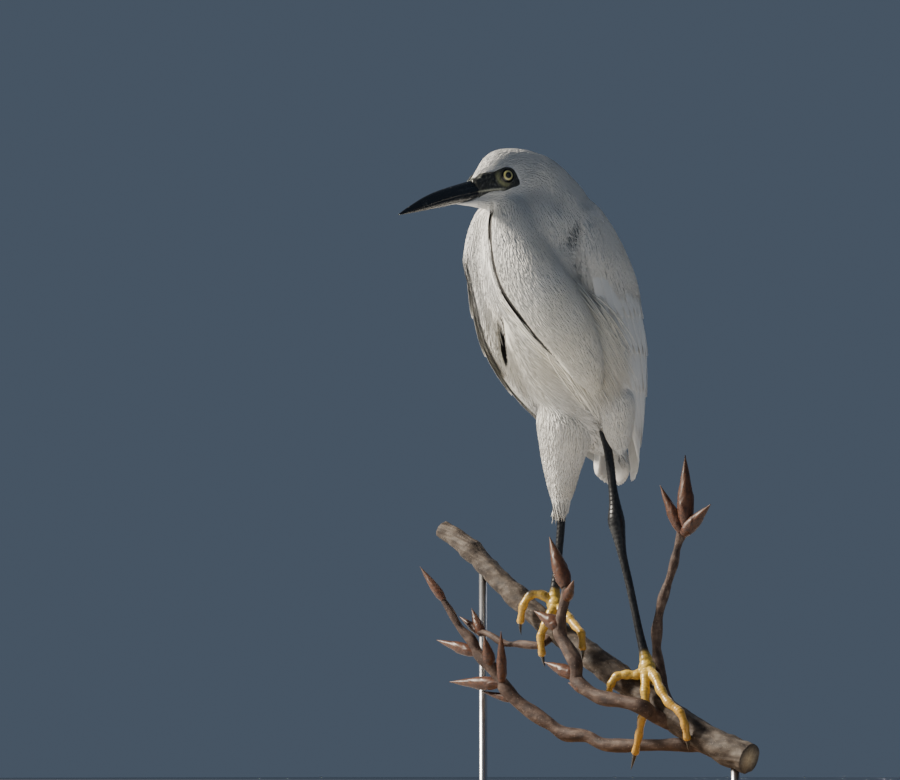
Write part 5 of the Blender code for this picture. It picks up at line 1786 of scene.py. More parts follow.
@dataclass
class Eyeball:
    """An eyeball turned round its own axis, marked by the angle from that axis."""

    side: Side
    rings: int = 60
    sides: int = 72
    bulge: float = 0.35

    def build(self) -> bpy.types.Object:
        """Spins the profile: the ball's radius with a low swelling over the iris.

        Returns:
            The piece, with the angle from its axis in degrees.
        """
        middle, axis = HEAD_FRAME.eye(self.side)
        one = unit(np.cross(axis, HEAD_FRAME.up))
        two = np.cross(axis, one)
        angle = np.linspace(0.4, 100.0, self.rings)
        round_it = np.linspace(0, 2 * math.pi, self.sides, endpoint=False)
        radius = EYE_RADIUS - 0.15 + self.bulge * np.exp(-((angle / 26.0) ** 2))
        reach = radius * np.sin(np.radians(angle))
        depth = radius * np.cos(np.radians(angle))
        rings = (
            middle
            + depth[:, None, None] * axis
            + reach[:, None, None] * (np.cos(round_it)[:, None] * one + np.sin(round_it)[:, None] * two)
        )
        values = {"Turn": np.repeat(angle[:, None], self.sides, 1)}
        return outward(closed_rings(rings, values)).mesh("eyeball_" + self.side.word)


@dataclass
class Bill:
    """The two mandibles, with the groove and slit of the nostrils and a keel along the top."""

    rows: int = 150
    sides: int = 56
    gap: float = 0.3

    def mandible(self, upper: bool) -> Shape:
        """A mandible's sections, from inside the head to the tip.

        The arched side of a section is up = edge + (far - edge) cos^0.8 and left = half sin (1 - cos / 4);
        its flat side lies along the mouth line.

        Args:
            upper: which of the two.

        Returns:
            The closed shape.
        """
        rows = smooth_rows(BILL, self.rows)
        turn = np.linspace(0, 2 * math.pi, self.sides, endpoint=False)
        cosine, sine = np.cos(turn), np.sin(turn)
        sign = 1.0 if upper else -1.0
        forward, half, mouth = rows[:, 0, None], rows[:, 1, None], rows[:, 3, None] + sign * self.gap / 2
        far = rows[:, 2 if upper else 4, None]
        arch = np.clip(cosine, 0, 1)
        up = mouth + (far - mouth) * arch**0.8
        left = half * sine * np.where(cosine > 0, 1.0 - 0.25 * arch, 0.97) * (1.0 if upper else 0.92)
        up = up - sign * 0.12 * np.clip(-cosine, 0, 1)
        level = (up - mouth) / np.maximum(np.abs(far - mouth), 0.05) * sign
        if upper:
            groove = np.exp(-(((level - 0.52) / 0.13) ** 2)) * step(62.0, 40.0, forward) * step(14.0, 22.0, forward)
            slit = np.exp(-(((forward - 31.0) / 3.6) ** 4) - ((level - 0.52) / 0.10) ** 2)
            left = left * (1.0 - 0.09 * groove) - np.sign(left) * 0.95 * slit
        seam = np.exp(-((level / 0.08) ** 2)) * (cosine > -0.05)
        left = left * (1.0 - 0.05 * seam)
        points = HEAD_FRAME.out(np.repeat(forward, self.sides, 1), left, up)
        shape = closed_rings(points, {"Forward": np.repeat(forward, self.sides, 1)})
        return outward(shape)

    def build(self) -> list[bpy.types.Object]:
        """Both mandibles."""
        return [self.mandible(True).mesh("mandible_upper"), self.mandible(False).mesh("mandible_lower")]


def toe_rows(side: Side, name: str, count: int) -> Array:
    """A toe's centre line and radii, thinner to the tip and swollen at its joints."""
    joints = TOES[side.word][name]
    rows = smooth_rows((ANKLES[side.word], *joints), count)
    share = np.linspace(0, 1, count)
    radius = 4.0 - 1.3 * share + 0.35 * np.cos(2 * math.pi * share * len(joints))
    return np.column_stack([rows, radius])


@dataclass
class Leg:
    """A bare leg from the feathers down to the four toes, one skin with the scutes raised on it."""

    side: Side
    voxel: float = 0.62
    passes: int = 3
    scute: float = 2.3
    ankle_radii: tuple = (6.6, 6.2, 6.8)

    def build(self) -> bpy.types.Object:
        """Joins shank, ankle pad and toes, evens them and raises the scutes.

        A scute's height is 0.16 (t - 0.5) with t the share of its length passed, its sides falling off
        away from the front, so each plate's lower edge stands over the next.

        Returns:
            The piece, with how yellow each place is.
        """
        shank = smooth_rows(SHANKS[self.side.word], 90)
        tubes = [shank, *(toe_rows(self.side, name, 70) for name in TOES[self.side.word])]
        forms = [tube(rows, 28, cap=0.8) for rows in tubes]
        forms.append(self.ankle())
        points, quads = wrapped([Shape(f.points, f.faces) for f in forms], self.voxel, self.passes)
        centre = np.concatenate(tubes)[:, :3]
        travel = np.concatenate([self.travel(rows) for rows in tubes])
        toe = np.concatenate([np.full(len(rows), float(k > 0)) for k, rows in enumerate(tubes)])
        where, _ = nearest(points, centre)
        outwards = unit(points - centre[where])
        along_axis = np.concatenate([unit(np.gradient(rows[:, :3], axis=0)) for rows in tubes])[where]
        along = travel[where] + ((points - centre[where]) * along_axis).sum(1)
        size = np.where(toe[where] > 0.5, self.scute, self.scute * 1.5)
        share = along / size % 1.0
        front = -outwards[:, 1]
        top = np.where(toe[where] > 0.5, step(-0.2, 0.5, front), step(-0.1, 0.7, front))
        relief = 0.20 * (share**0.7 - 0.5) * top + 0.10 * ripple(points, 1.7, 21) * (1 - top)
        points = points + outwards * relief[:, None]
        shape = Shape(points, [quads])
        ankle = np.asarray(ANKLES[self.side.word])
        shape.values["Yellow"] = np.clip(
            step(ankle[2] + 15.0, ankle[2] + 4.0, points[:, 2] + 2.5 * ripple(points, 9.0, 8)), 0, 1
        )
        shape.values["Plate"] = share
        shape.values["Toe"] = np.clip(travel[where] / 60.0, 0, 1) * toe[where]
        return shape.mesh("leg_" + self.side.word)

    def travel(self, rows: Array) -> Array:
        """Millimetres passed along rows."""
        return np.concatenate([[0], np.cumsum(np.linalg.norm(np.diff(rows[:, :3], axis=0), axis=1))])

    def ankle(self) -> Shape:
        """The ankle pad, an ellipsoid."""
        polar = np.radians(np.linspace(4, 176, 18))
        turn = np.linspace(0, 2 * math.pi, 28, endpoint=False)
        ball = np.stack(
            [
                np.outer(np.sin(polar), np.cos(turn)),
                np.outer(np.sin(polar), np.sin(turn)),
                np.outer(np.cos(polar), np.ones(28)),
            ],
            -1,
        )
        return outward(closed_rings(ball * self.ankle_radii + np.asarray(ANKLES[self.side.word])))


def claws(side: Side) -> bpy.types.Object:
    """The four claws of a foot, each a tapered tube bent from its toe's heading to its tip.

    The middle line is the curve (1-t)^2 start + 2t(1-t) bend + t^2 tip, its radius 2.2 (1-t)^0.8.

    Args:
        side: which foot.

    Returns:
        The piece.
    """
    made = []
    t = np.linspace(0, 1, 24)[:, None]
    for name, tip in CLAW_TIPS[side.word].items():
        toe = toe_rows(side, name, 2 * len(TOES[side.word][name]) + 2)
        root, heading = toe[-1, :3], unit(toe[-1, :3] - toe[-3, :3])
        bend = root + heading * np.linalg.norm(tip - root) * 0.45
        path = (1 - t) ** 2 * (root - heading * 2.5) + 2 * t * (1 - t) * bend + t * t * np.asarray(tip)
        radius = np.maximum(2.2 * (1 - t) ** 0.8, 0.15)
        made.append(outward(tube(np.hstack([path, radius]), 20, cap=0.7)))
    return Shape.joined(made).mesh("claws_" + side.word)


@dataclass
class Perch:
    """The cut length of branch with its side twigs and buds."""

    swellings: tuple = ((-112.0, 1.5, 5.0), (-66.0, 1.3, 6.0), (30.0, 0.8, 8.0), (136.0, 1.2, 7.0))
    branch_rows: int = 420
    branch_sides: int = 96
    bud_profile: tuple = ((0.0, 0.55), (0.18, 0.94), (0.42, 1.0), (0.74, 0.58), (1.0, 0.03))

    def branch(self) -> bpy.types.Object:
        """The branch: its radius grows at the old nodes and is roughened by fine lengthwise ridges.

        Returns:
            The piece, with "Along" and the height of the bark.
        """
        rows = smooth_rows(BRANCH, self.branch_rows)
        for place, height, reach in self.swellings:
            rows[:, 3] += height * np.exp(-(((rows[:, 0] - place) / reach) ** 2))
        return self.bark(rows, self.branch_sides, 0.42, 3).mesh("branch_bark")

    def bark(self, rows: Array, sides: int, relief: float, seed: int) -> Shape:
        """A tube with ridges drawn out along it and rings of scars across.

        Its radius is the table's plus relief times a ripple read three times finer round it than along.

        Args:
            rows: centres and radii.
            sides: points round it.
            relief: height of the ridges.
            seed: of the ripples.

        Returns:
            The closed tube.
        """
        turn = np.linspace(0, 2 * math.pi, sides, endpoint=False)
        travel = np.concatenate([[0], np.cumsum(np.linalg.norm(np.diff(rows[:, :3], axis=0), axis=1))])
        size = rows[:, 3:4]
        flat = np.stack(
            np.broadcast_arrays(travel[:, None] * 0.30, size * np.cos(turn), size * np.sin(turn)), -1
        ).reshape(-1, 3)
        ridges = ripple(flat, 3.4, seed).reshape(len(rows), sides)
        lumps = ripple(flat * (2.2, 1.0, 1.0), 13.0, seed + 1).reshape(len(rows), sides)
        scars = np.zeros(len(rows))
        rng = np.random.default_rng(seed)
        for place in rng.uniform(4, travel[-1] - 4, max(int(travel[-1] / 26.0), 2)):
            scars += np.exp(-(((travel - place) / 0.8) ** 2)) - 0.7 * np.exp(-(((travel - place - 2.0) / 0.9) ** 2))
        radius = size + relief * (0.6 * ridges + 1.1 * lumps) + 0.35 * relief * scars[:, None] - relief
        shape = tube(rows, sides, radius=np.maximum(radius, 0.4))
        height = np.clip(0.5 + 0.45 * ridges, 0, 1)
        shape.values["Ridge"] = np.concatenate([height.ravel(), [0.5, 0.5]])
        ends = np.concatenate([np.zeros(radius.size), [1.0, 1.0]])
        shape.values["Sawn"] = ends
        return outward(shape)

    def twigs(self) -> list[tuple[str, bpy.types.Object]]:
        """Every twig as a piece of its own."""
        made = []
        for seed, (name, table) in enumerate(TWIGS.items()):
            rows = smooth_rows(table, 16 * len(table))
            rows[:, 3] += 0.45 * np.cos(np.linspace(0, len(table) * 3.15, len(rows)))
            made.append((name, self.bark(rows, 40, 0.20, 30 + seed).mesh(name + "_bark")))
        return made

    def buds(self, name: str) -> bpy.types.Object:
        """The buds of a twig, each a few pointed scales wrapped over a core.

        Args:
            name: the twig.

        Returns:
            The piece, with how near each place lies to the edge of its scale.
        """
        made = []
        for index, (base, tip, radius) in enumerate(BUDS[name]):
            made.append(self.bud(np.asarray(base), np.asarray(tip), radius, index))
        return Shape.joined(made).mesh("buds_" + name.split("_")[1])

    def bud(self, base: Array, tip: Array, radius: float, index: int, rows: int = 56, sides: int = 48) -> Shape:
        """One bud: a spindle whose skin steps down over the pointed edge of each scale.

        Scale n covers the turn round its own side and ends at a height that falls off with the square of
        the turn from its middle; the skin's radius grows by 0.07 under each scale's edge.

        Args:
            base: its foot.
            tip: its point.
            radius: of its widest place.
            index: turns its scales.
            rows: rings along it.
            sides: points round it.

        Returns:
            The closed shape.
        """
        share = np.linspace(0, 1, rows)
        width = np.interp(share, *np.transpose(self.bud_profile))
        width = np.convolve(np.pad(width, 3, mode="edge"), np.ones(7) / 7, "valid")
        turn = np.linspace(0, 2 * math.pi, sides, endpoint=False)
        edge = np.zeros((rows, sides))
        relief = np.zeros((rows, sides))
        for scale in range(6):
            middle = index * 1.1 + scale * 2.4
            away = np.abs((turn - middle + math.pi) % (2 * math.pi) - math.pi)
            top = 0.22 + 0.14 * scale - 0.055 * away**2
            before = top[None, :] - share[:, None]
            relief += 0.055 * step(-0.015, 0.03, before)
            edge = np.maximum(edge, np.exp(-(((before - 0.01) / 0.02) ** 2)))
        reach = radius * (width[:, None] * (0.86 + relief))
        line = np.column_stack([base + (tip - base) * share[:, None], np.ones(rows)])
        shape = tube(line, sides, radius=reach)
        shape.values["Edge"] = np.concatenate([edge.ravel(), [0.0, 1.0]])
        shape.values["Along"] = np.concatenate([np.repeat(share, sides), [0.0, 1.0]])
        return outward(shape)


@dataclass
class Stand:
    """The flat base and the two rods that carry the branch, each with a low collar."""

    size: tuple = (300.0, 220.0, 16.0)
    centre: tuple = (8.0, -25.0)
    top: float = -111.0
    corner: float = 3.0
    rods: tuple = (("low", 141.0, -0.5), ("high", -100.0, 1.6))
    rod_radius: float = 3.2
    rod_reach: float = 6.0
    collar: tuple = ((0.3, 0.0), (5.6, 0.0), (6.2, 0.6), (6.2, 1.6), (5.4, 2.4), (3.3, 2.5))

    def base(self) -> bpy.types.Object:
        """The base: a box whose upright and level edges are rounded by the corner size."""
        bevel, steps = self.corner, 6
        turn = np.radians(np.linspace(0, 90, steps))
        level = [(-self.size[2], -bevel * 0.35), (-self.size[2] + bevel * 0.35, 0.0)]
        level += [(-bevel + bevel * math.sin(a), -bevel + bevel * math.cos(a)) for a in turn]
        rings = []
        for height, inset in level:
            x, y = self.size[0] / 2 + inset, self.size[1] / 2 + inset
            r = bevel + 1.0
            ring = []
            for k, (sx, sy) in enumerate(((1, 1), (-1, 1), (-1, -1), (1, -1))):
                bend = np.radians(90.0 * k + np.linspace(0, 90, steps))
                ring.append(np.column_stack([sx * (x - r) + r * np.cos(bend), sy * (y - r) + r * np.sin(bend)]))
            flat = np.vstack(ring)
            rings.append(np.column_stack([flat + self.centre, np.full(len(flat), self.top + height)]))
        return outward(closed_rings(np.stack(rings))).mesh("base_board")

    def rod(self, x: float, y: float, name: str) -> bpy.types.Object:
        """A rod from the base up into the branch, with a collar at its foot."""
        line = smooth_rows(BRANCH, 80)
        height = float(np.interp(x, line[:, 0], line[:, 2])) - self.rod_reach
        turn = np.linspace(0, 2 * math.pi, 64, endpoint=False)
        foot = self.top + 0.3
        profile = [(radius, foot + up) for radius, up in self.collar]
        profile += [(self.rod_radius, foot + 2.6), (self.rod_radius, height)]
        rings = [
            np.column_stack([x + r * np.cos(turn), y + r * np.sin(turn), np.full(64, z)]) for r, z in profile
        ]
        return outward(closed_rings(np.stack(rings))).mesh("rod_" + name)


class Paint:
    """A material put together from nodes that read the piece's own place and values."""

    def __init__(self, name: str, slot: str, roughness: float, **constants: float) -> None:
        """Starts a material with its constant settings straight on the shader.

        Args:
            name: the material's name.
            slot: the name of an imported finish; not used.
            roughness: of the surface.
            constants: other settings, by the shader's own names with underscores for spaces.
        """
        self.material = bpy.data.materials.new(name)
        self.material.use_nodes = True
        self.slot = slot
        self.tree = self.material.node_tree
        self.shader = next(n for n in self.tree.nodes if n.type == "BSDF_PRINCIPLED")
        self.shader.inputs["Roughness"].default_value = roughness
        for key, value in constants.items():
            self.shader.inputs[key.replace("_", " ").title().replace("Ior", "IOR")].default_value = value
        self.place = self.tree.nodes.new("ShaderNodeTexCoord").outputs["Object"]

    def link(self, value: object, socket: bpy.types.NodeSocket) -> None:
        """Joins an output to a socket, or sets the socket when given a number or colour."""
        if isinstance(value, bpy.types.NodeSocket):
            self.tree.links.new(value, socket)
        else:
            socket.default_value = value

    def noise(self, size: float, detail: float = 3.0, stretch: tuple = (1.0, 1.0, 1.0), turn: tuple = (0, 0, 0),
              source: bpy.types.NodeSocket | None = None) -> bpy.types.NodeSocket:
        """Noise with lumps of a size in millimetres, drawn out by the stretch."""
        mapping = self.tree.nodes.new("ShaderNodeMapping")
        mapping.inputs["Scale"].default_value = [1.0 / s for s in stretch]
        mapping.inputs["Rotation"].default_value = [math.radians(t) for t in turn]
        self.link(source or self.place, mapping.inputs["Vector"])
        texture = self.tree.nodes.new("ShaderNodeTexNoise")
        texture.inputs["Scale"].default_value = 1.0 / (size * MM)
        texture.inputs["Detail"].default_value = detail
        self.link(mapping.outputs[0], texture.inputs["Vector"])
        return texture.outputs["Fac"]

    def value(self, name: str) -> bpy.types.NodeSocket:
        """A value carried by the piece's points."""
        node = self.tree.nodes.new("ShaderNodeAttribute")
        node.attribute_name = name
        return node.outputs["Fac"]

    def sum(self, operation: str, first: object, second: object = 0.0, third: object = 0.0) -> bpy.types.NodeSocket:
        """One arithmetic step."""
        node = self.tree.nodes.new("ShaderNodeMath")
        node.operation = operation
        for socket, value in zip(node.inputs, (first, second, third)):
            self.link(value, socket)
        return node.outputs[0]

    def ramp(self, share: bpy.types.NodeSocket, *stops: tuple) -> bpy.types.NodeSocket:
        """A colour read along stops, each a place and a colour."""
        node = self.tree.nodes.new("ShaderNodeValToRGB")
        marks = node.color_ramp.elements
        while len(marks) < len(stops):
            marks.new(0.5)
        for mark, (place, colour) in zip(marks, stops):
            mark.position = place
            mark.color = (*colour, 1.0)
        self.link(share, node.inputs["Fac"])
        return node.outputs["Color"]

    def mix(self, share: object, first: object, second: object) -> bpy.types.NodeSocket:
        """One colour fading into another."""
        node = self.tree.nodes.new("ShaderNodeMix")
        node.data_type = "RGBA"
        for socket, value in zip((node.inputs[0], node.inputs[6], node.inputs[7]), (share, first, second)):
            self.link((*value, 1.0) if isinstance(value, tuple) and len(value) == 3 else value, socket)
        return node.outputs[2]

    def colour(self, value: bpy.types.NodeSocket) -> "Paint":
        """Sets the colour."""
        self.link(value, self.shader.inputs["Base Color"])
        return self

    def rough(self, value: bpy.types.NodeSocket, low: float, high: float) -> "Paint":
        """Sets the roughness between two numbers by a share."""
        self.link(self.sum("MULTIPLY_ADD", value, high - low, low), self.shader.inputs["Roughness"])
        return self

    def bump(self, height: bpy.types.NodeSocket, depth: float, strength: float = 1.0) -> "Paint":
        """Roughens the surface by a height that stands for a depth in millimetres."""
        node = self.tree.nodes.new("ShaderNodeBump")
        node.inputs["Distance"].default_value = depth * MM
        node.inputs["Strength"].default_value = strength
        self.link(height, node.inputs["Height"])
        self.link(node.outputs[0], self.shader.inputs["Normal"])
        return self


def plumage_paint(name: str, barbs: bool) -> Paint:
    """White plumage, warmed to cream where the points say so, with fine barbs on a feather's own shares."""
    paint = Paint(name, "plumage", 0.62, sheen_weight=0.10)
    cloud = paint.noise(14.0, 4.0)
    white = paint.mix(cloud, (0.83, 0.82, 0.79), (0.90, 0.89, 0.87))
    warm = paint.mix(paint.value("Warmth"), white, (0.84, 0.77, 0.60))
    if barbs:
        shade = paint.sum("MULTIPLY_ADD", paint.value("Shade"), 0.5, paint.sum("MULTIPLY", paint.value("Along"), 0.5))
        warm = paint.mix(paint.sum("MULTIPLY", shade, 0.22), warm, (0.95, 0.95, 0.94))
        across = paint.sum("ABSOLUTE", paint.sum("SUBTRACT", paint.value("Across"), 0.5))
        lines = paint.sum("SINE", paint.sum("MULTIPLY_ADD", across, 60.0, paint.sum("MULTIPLY", paint.value("Along"), -150.0)))
        shaft = paint.sum("LESS_THAN", across, 0.025)
        paint.bump(paint.sum("MULTIPLY_ADD", lines, 0.25, paint.sum("MULTIPLY", shaft, 1.2)), 0.10, 0.6)
    else:
        paint.bump(paint.noise(1.2, 5.0), 0.3, 0.5)
    return paint.colour(warm)


def skin_paint() -> Paint:
    """The skin under the coat: the coat's white, nearly black in the narrow folds as dark skin and painted crease
    shade, and slate where the face is bare.
    """
    paint = Paint("skin_under_coat", "plumage", 0.7)
    white = paint.mix(paint.noise(14.0, 4.0), (0.83, 0.82, 0.79), (0.90, 0.89, 0.87))
    warm = paint.mix(paint.value("Warmth"), white, (0.84, 0.77, 0.60))
    slate = paint.mix(paint.noise(2.0), (0.06, 0.065, 0.06), (0.13, 0.135, 0.12))
    # Nearly black in the narrow folds: partly dark skin at the feathers' roots, partly painted shade in the crease and
    # in the slit under the far wing.
    down = paint.mix(paint.value("Fold"), warm, (0.014, 0.011, 0.009))
    return paint.colour(paint.mix(paint.value("Bare"), down, slate)).bump(paint.noise(1.2, 5.0), 0.3, 0.5)


def face_paint() -> Paint:
    """Bare face: mottled slate, turning greenish yellow by its value round the eye and at the gape."""
    paint = Paint("bare_face", "plumage", 0.45, coat_weight=0.12, coat_roughness=0.3)
    slate = paint.ramp(
        paint.noise(2.2, 6.0), (0.36, (0.008, 0.008, 0.009)), (0.54, (0.030, 0.032, 0.031)), (0.74, (0.17, 0.175, 0.16))
    )
    yellow = paint.ramp(paint.noise(1.3, 4.0), (0.3, (0.20, 0.21, 0.10)), (0.7, (0.42, 0.41, 0.21)))
    ringed = paint.mix(paint.value("Yellow"), slate, yellow)
    bare = paint.mix(paint.value("Mouth"), ringed, (0.55, 0.54, 0.42))
    paint.colour(paint.mix(paint.value("Lid"), bare, (0.012, 0.012, 0.012)))
    return paint.bump(paint.noise(0.55, 4.0), 0.12, 0.8)


def eye_paint() -> Paint:
    """Eye: black pupil, pale yellow iris with fine rays and a thin dark ring, all under a clear gloss."""
    paint = Paint("eye", "iris", 0.08, coat_weight=1.0, coat_roughness=0.02)
    turn = paint.sum("DIVIDE", paint.value("Turn"), 60.0)
    wobble = paint.sum("MULTIPLY_ADD", paint.noise(0.8, 4.0), 0.03, turn)
    rings = paint.ramp(
        wobble,
        (0.30, (0.002, 0.002, 0.002)),
        (0.322, (0.002, 0.002, 0.002)),
        (0.335, (0.26, 0.22, 0.07)),
        (0.42, (0.76, 0.69, 0.26)),
        (0.53, (0.70, 0.62, 0.22)),
        (0.575, (0.12, 0.09, 0.03)),
        (0.61, (0.006, 0.006, 0.006)),
    )
    return paint.colour(rings)


def horn_paint(name: str, slot: str, dark: tuple, pale: tuple, roughness: float) -> Paint:
    """Bill and claws: dark horn with pale streaks drawn out along the head, partly scuffed wear and partly a painted
    highlight along the bill.
    """
    paint = Paint(name, slot, roughness, coat_weight=0.7, coat_roughness=0.10)
    scuff_and_highlight = paint.noise(1.3, 5.0, (1.0, 7.0, 2.2), (0, 0, 7))
    # Pale streaks: partly scuffed wear, partly a painted highlight along the bill.
    paint.colour(paint.ramp(scuff_and_highlight, (0.42, dark), (0.60, dark), (0.74, pale)))
    paint.rough(paint.noise(2.5, 3.0, (1.0, 6.0, 2.0)), roughness - 0.08, roughness + 0.16)
    return paint.bump(paint.noise(0.8, 4.0, (1.0, 8.0, 2.5)), 0.05, 0.6)


def leg_paint() -> Paint:
    """Leg: glossy black plates that turn yellow from the ankle down, browner between the plates."""
    paint = Paint("leg", "black_leg", 0.34, coat_weight=0.25, coat_roughness=0.2)
    black = paint.ramp(paint.noise(1.8, 4.0), (0.40, (0.006, 0.006, 0.007)), (0.74, (0.035, 0.035, 0.036)))
    yellow = paint.ramp(
        paint.noise(2.6, 4.0), (0.32, (0.36, 0.24, 0.04)), (0.55, (0.66, 0.44, 0.07)), (0.75, (0.78, 0.58, 0.13))
    )
    orange = paint.mix(paint.sum("MULTIPLY", paint.value("Toe"), 0.7), yellow, (0.58, 0.29, 0.045))
    groove = paint.sum("LESS_THAN", paint.value("Plate"), 0.12)
    grown = paint.mix(paint.sum("MULTIPLY", groove, 0.55), orange, (0.12, 0.08, 0.02))
    return paint.colour(paint.mix(paint.value("Yellow"), black, grown)).bump(paint.noise(0.6, 4.0), 0.06, 0.7)


def bark_paint(name: str, dark: tuple, middle: tuple, pale: tuple) -> Paint:
    """Bark: dark in its furrows, grey on its ridges, flecked with pale pores."""
    paint = Paint(name, "bark", 0.72)
    along = paint.ramp(paint.noise(4.0, 6.0, (2.6, 1.0, 1.6), (0, 35, 0)), (0.32, dark), (0.52, middle), (0.72, pale))
    ridge = paint.mix(paint.sum("MULTIPLY", paint.value("Ridge"), 0.55), dark, along)
    fleck = paint.sum("GREATER_THAN", paint.noise(1.5, 1.0, (0.7, 1.0, 1.0)), 0.69)
    spotted = paint.mix(paint.sum("MULTIPLY", fleck, 0.55), paint.mix(0.45, ridge, along), pale)
    sawn = paint.ramp(paint.noise(2.0, 4.0), (0.35, (0.42, 0.30, 0.17)), (0.65, (0.60, 0.46, 0.28)))
    paint.colour(paint.mix(paint.value("Sawn"), spotted, sawn))
    return paint.bump(paint.noise(1.1, 6.0, (2.4, 1.0, 1.5), (0, 35, 0)), 0.35, 0.8)


def bud_paint() -> Paint:
    """Bud scales: glossy red-brown with a dark edge and a paler foot."""
    paint = Paint("bud_scale", "bark", 0.46, coat_weight=0.08, coat_roughness=0.25)
    brown = paint.ramp(paint.noise(2.2, 4.0), (0.35, (0.045, 0.016, 0.009)), (0.62, (0.12, 0.043, 0.020)))
    green = paint.mix(paint.sum("MULTIPLY", paint.value("Along"), 0.30), brown, (0.14, 0.075, 0.032))
    paint.colour(paint.mix(paint.sum("MULTIPLY", paint.value("Edge"), 0.75), green, (0.05, 0.018, 0.01)))
    return paint.bump(paint.noise(0.7, 3.0), 0.05, 0.5)


def wood_paint() -> Paint:
    """Base: brown wood with long grain."""
    paint = Paint("base_wood", "stand_wood", 0.42, coat_weight=0.15, coat_roughness=0.25)
    rings = paint.noise(5.0, 4.0, (22.0, 1.0, 1.0))
    fine = paint.noise(0.9, 3.0, (30.0, 1.0, 1.0))
    grain = paint.sum("MULTIPLY_ADD", fine, 0.3, paint.sum("MULTIPLY", rings, 0.7))
    paint.colour(paint.ramp(grain, (0.34, (0.19, 0.115, 0.06)), (0.50, (0.33, 0.21, 0.115)), (0.66, (0.45, 0.31, 0.18))))
    return paint.bump(fine, 0.05, 0.4)


def steel_paint() -> Paint:
    """Rods: brushed steel."""
    paint = Paint("rod_steel", "stand_steel", 0.30, metallic=1.0)
    brushed = paint.noise(0.5, 3.0, (1.0, 1.0, 0.12))
    paint.colour(paint.ramp(brushed, (0.3, (0.48, 0.48, 0.49)), (0.7, (0.62, 0.62, 0.63))))
    return paint.rough(brushed, 0.24, 0.40)


class Model:
    """Builds every piece in order and ties it to the frame."""

    def __init__(self) -> None:
        """Makes the finishes."""
        self.tuft = plumage_paint("plumage_tufts", True)
        self.vane = plumage_paint("plumage_vanes", True)
        self.bark = bark_paint("branch_bark", (0.030, 0.022, 0.018), (0.105, 0.078, 0.058), (0.24, 0.20, 0.16))
        self.twig_bark = bark_paint("twig_bark", (0.030, 0.016, 0.012), (0.105, 0.062, 0.045), (0.24, 0.17, 0.13))
        self.leg = leg_paint()
        self.claw = horn_paint("claw_horn", "claw", (0.018, 0.016, 0.014), (0.16, 0.13, 0.10), 0.34)
        self.bill = horn_paint("bill_horn", "bill", (0.005, 0.005, 0.006), (0.16, 0.16, 0.15), 0.22)

    def add(self, obj: bpy.types.Object, paint: Paint, *nodes: str) -> None:
        """Gives a piece its finish, its body and the nodes that it stands for."""
        obj.data.materials.clear()
        obj.data.materials.append(paint.material)
        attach(obj, BODY)
        if nodes:
            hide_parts(*nodes)
        LOG.info("%s: %d faces", obj.name, len(obj.data.polygons))

    def bird(self) -> None:
        """The bird: skin, coat, wings, tail, face, eyes, bill, legs and claws."""
        skin = Skin()
        flesh = ("head", "neck_lower", "neck_upper", "torso", "thigh_left", "thigh_right")
        self.add(skin.build(), skin_paint(), *flesh)
        for piece in Coat(skin, Plumage()).build():
            self.add(piece, self.tuft)
        rng = np.random.default_rng(31)
        self.add(Shape.joined([sheaf.lay(rng) for sheaf in WISPS]).mesh("coat_wisps"), self.tuft)
        face, eye = face_paint(), eye_paint()
        for side in Side:
            self.add(FoldedWing(side).build(), self.vane, "wing_" + side.word)
            self.add(BareFace(side).build(), face)
            self.add(Eyeball(side).build(), eye, "eye_" + side.word)
            self.add(Leg(side).build(), self.leg, "shank_" + side.word, "foot_" + side.word)
            self.add(claws(side), self.claw, *(f"claw_{side.word}_{toe}" for toe in TOES[side.word]))
        self.add(Tail().build(), self.vane, "tail")
        for piece, node in zip(Bill().build(), ("bill_upper", "bill_lower")):
            self.add(piece, self.bill, node)

    def perch(self) -> None:
        """The perch and the stand under it."""
        perch, stand = Perch(), Stand()
        self.add(perch.branch(), self.bark, "branch")
        scales = bud_paint()
        for name, twig in perch.twigs():
            self.add(twig, self.twig_bark, name)
            self.add(perch.buds(name), scales)
        self.add(stand.base(), wood_paint(), "stand_base")
        steel = steel_paint()
        for name, x, y in stand.rods:
            self.add(stand.rod(x, y, name), steel, "stand_rod_" + name)


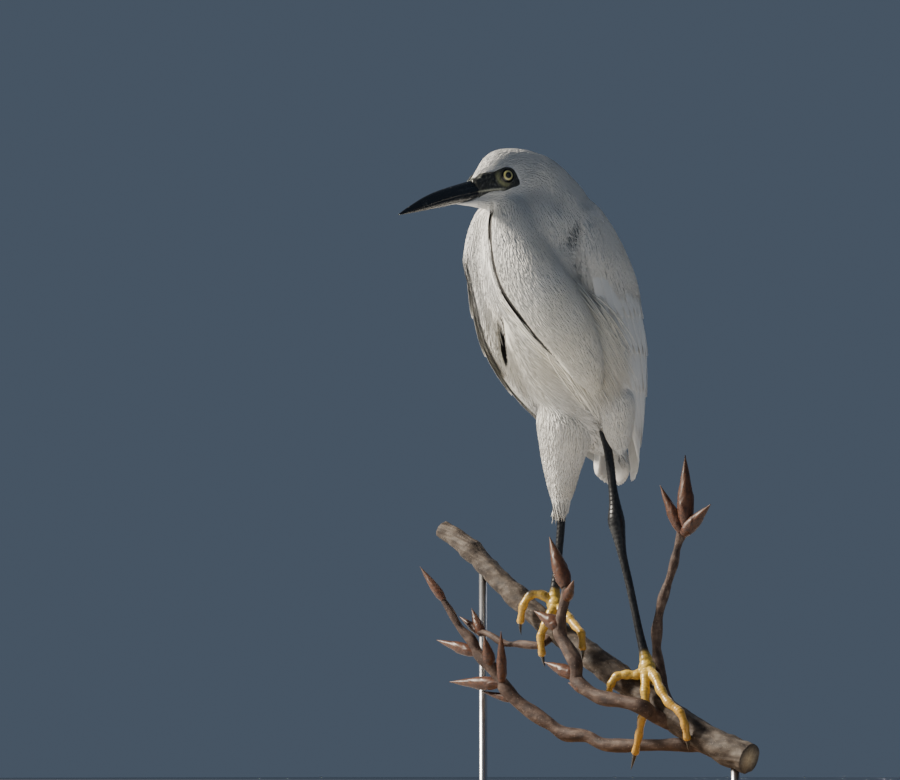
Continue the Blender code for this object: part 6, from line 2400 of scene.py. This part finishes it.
@dataclass(frozen=True)
class Studio:
    """The camera at the photograph's angle, a pale floor and soft lights."""

    azimuth: float = 40.0
    look_up: float = 6.0
    lens: float = 135.0
    distance: float = 2596.0
    target: tuple = (-101.5, 192.0)

    def directions(self) -> tuple[Array, Array]:
        """From the bird to the camera, and to the camera's right."""
        a, e = math.radians(self.azimuth), math.radians(self.look_up)
        back = np.array((math.sin(a) * math.cos(e), -math.cos(a) * math.cos(e), -math.sin(e)))
        return back, np.array((math.cos(a), math.sin(a), 0.0))

    def camera(self) -> None:
        """Places the camera, looking a little upwards at the bird."""
        back, right = self.directions()
        target = right * self.target[0] + (0.0, 0.0, self.target[1])
        data = bpy.data.cameras.new("camera")
        data.lens = self.lens
        data.clip_end = 50.0
        obj = bpy.data.objects.new("camera", data)
        obj.location = Vector((target + back * self.distance + BIRD_PLACE) * MM)
        obj.rotation_euler = Vector(-back).to_track_quat("-Z", "Y").to_euler()
        bpy.context.scene.collection.objects.link(obj)
        bpy.context.scene.camera = obj

    def light(self, name: str, direction: Array, distance: float, size: float, power: float, colour: tuple) -> None:
        """A square soft light that looks at the middle of the bird."""
        data = bpy.data.lights.new(name, "AREA")
        data.shape = "DISK"
        data.size = size
        data.energy = power
        data.color = colour
        obj = bpy.data.objects.new(name, data)
        away = Vector(unit(direction))
        obj.location = Vector((0.0, 0.0, 0.30)) + away * distance
        obj.rotation_euler = away.to_track_quat("Z", "Y").to_euler()
        bpy.context.scene.collection.objects.link(obj)

    def build(self) -> None:
        """Sets up camera, lights, floor and sky."""
        self.camera()
        back, right = self.directions()
        up = np.array((0.0, 0.0, 1.0))
        level = unit(back * (1.0, 1.0, 0.0))
        key = -right * 0.96 - level * 0.06
        self.light("key", key + up * 0.62, 2.2, 0.50, 134.0, (1.0, 0.92, 0.79))
        self.light("fill", level + right * 0.5 + up * 0.15, 2.6, 1.6, 1.2, (0.86, 0.92, 1.0))
        self.light("rim", -level + right * 0.6 + up * 0.9, 2.4, 1.0, 4.0, (0.90, 0.94, 1.0))
        world = bpy.data.worlds.new("sky")
        bpy.context.scene.world = world
        world.use_nodes = True
        sky = next(n for n in world.node_tree.nodes if n.type == "BACKGROUND")
        sky.inputs["Color"].default_value = (0.48, 0.64, 0.90, 1.0)
        sky.inputs["Strength"].default_value = 0.145
        self.floor()

    def floor(self) -> None:
        """A wide pale disc under the base."""
        turn = np.linspace(0, 2 * math.pi, 96, endpoint=False)
        rings = [
            np.column_stack([r * np.cos(turn), r * np.sin(turn), np.full(96, z)])
            for r, z in ((2500.0, -4.0), (2500.0, 0.0))
        ]
        shape = outward(closed_rings(np.stack(rings) - (BIRD_PLACE + (0.0, 0.0, 0.2))))
        obj = shape.mesh("floor")
        paint = Paint("floor", "stand_wood", 0.8)
        paint.colour(paint.mix(paint.noise(60.0), (0.60, 0.62, 0.64), (0.66, 0.68, 0.70)))
        obj.data.materials.append(paint.material)


BODY = next(iter(frame["bodies"]))


def main() -> None:
    """Builds the model and its studio."""
    logging.basicConfig(level=logging.INFO, format="%(message)s")
    model = Model()
    model.bird()
    model.perch()
    Studio().build()


if __name__ == "__main__":
    main()
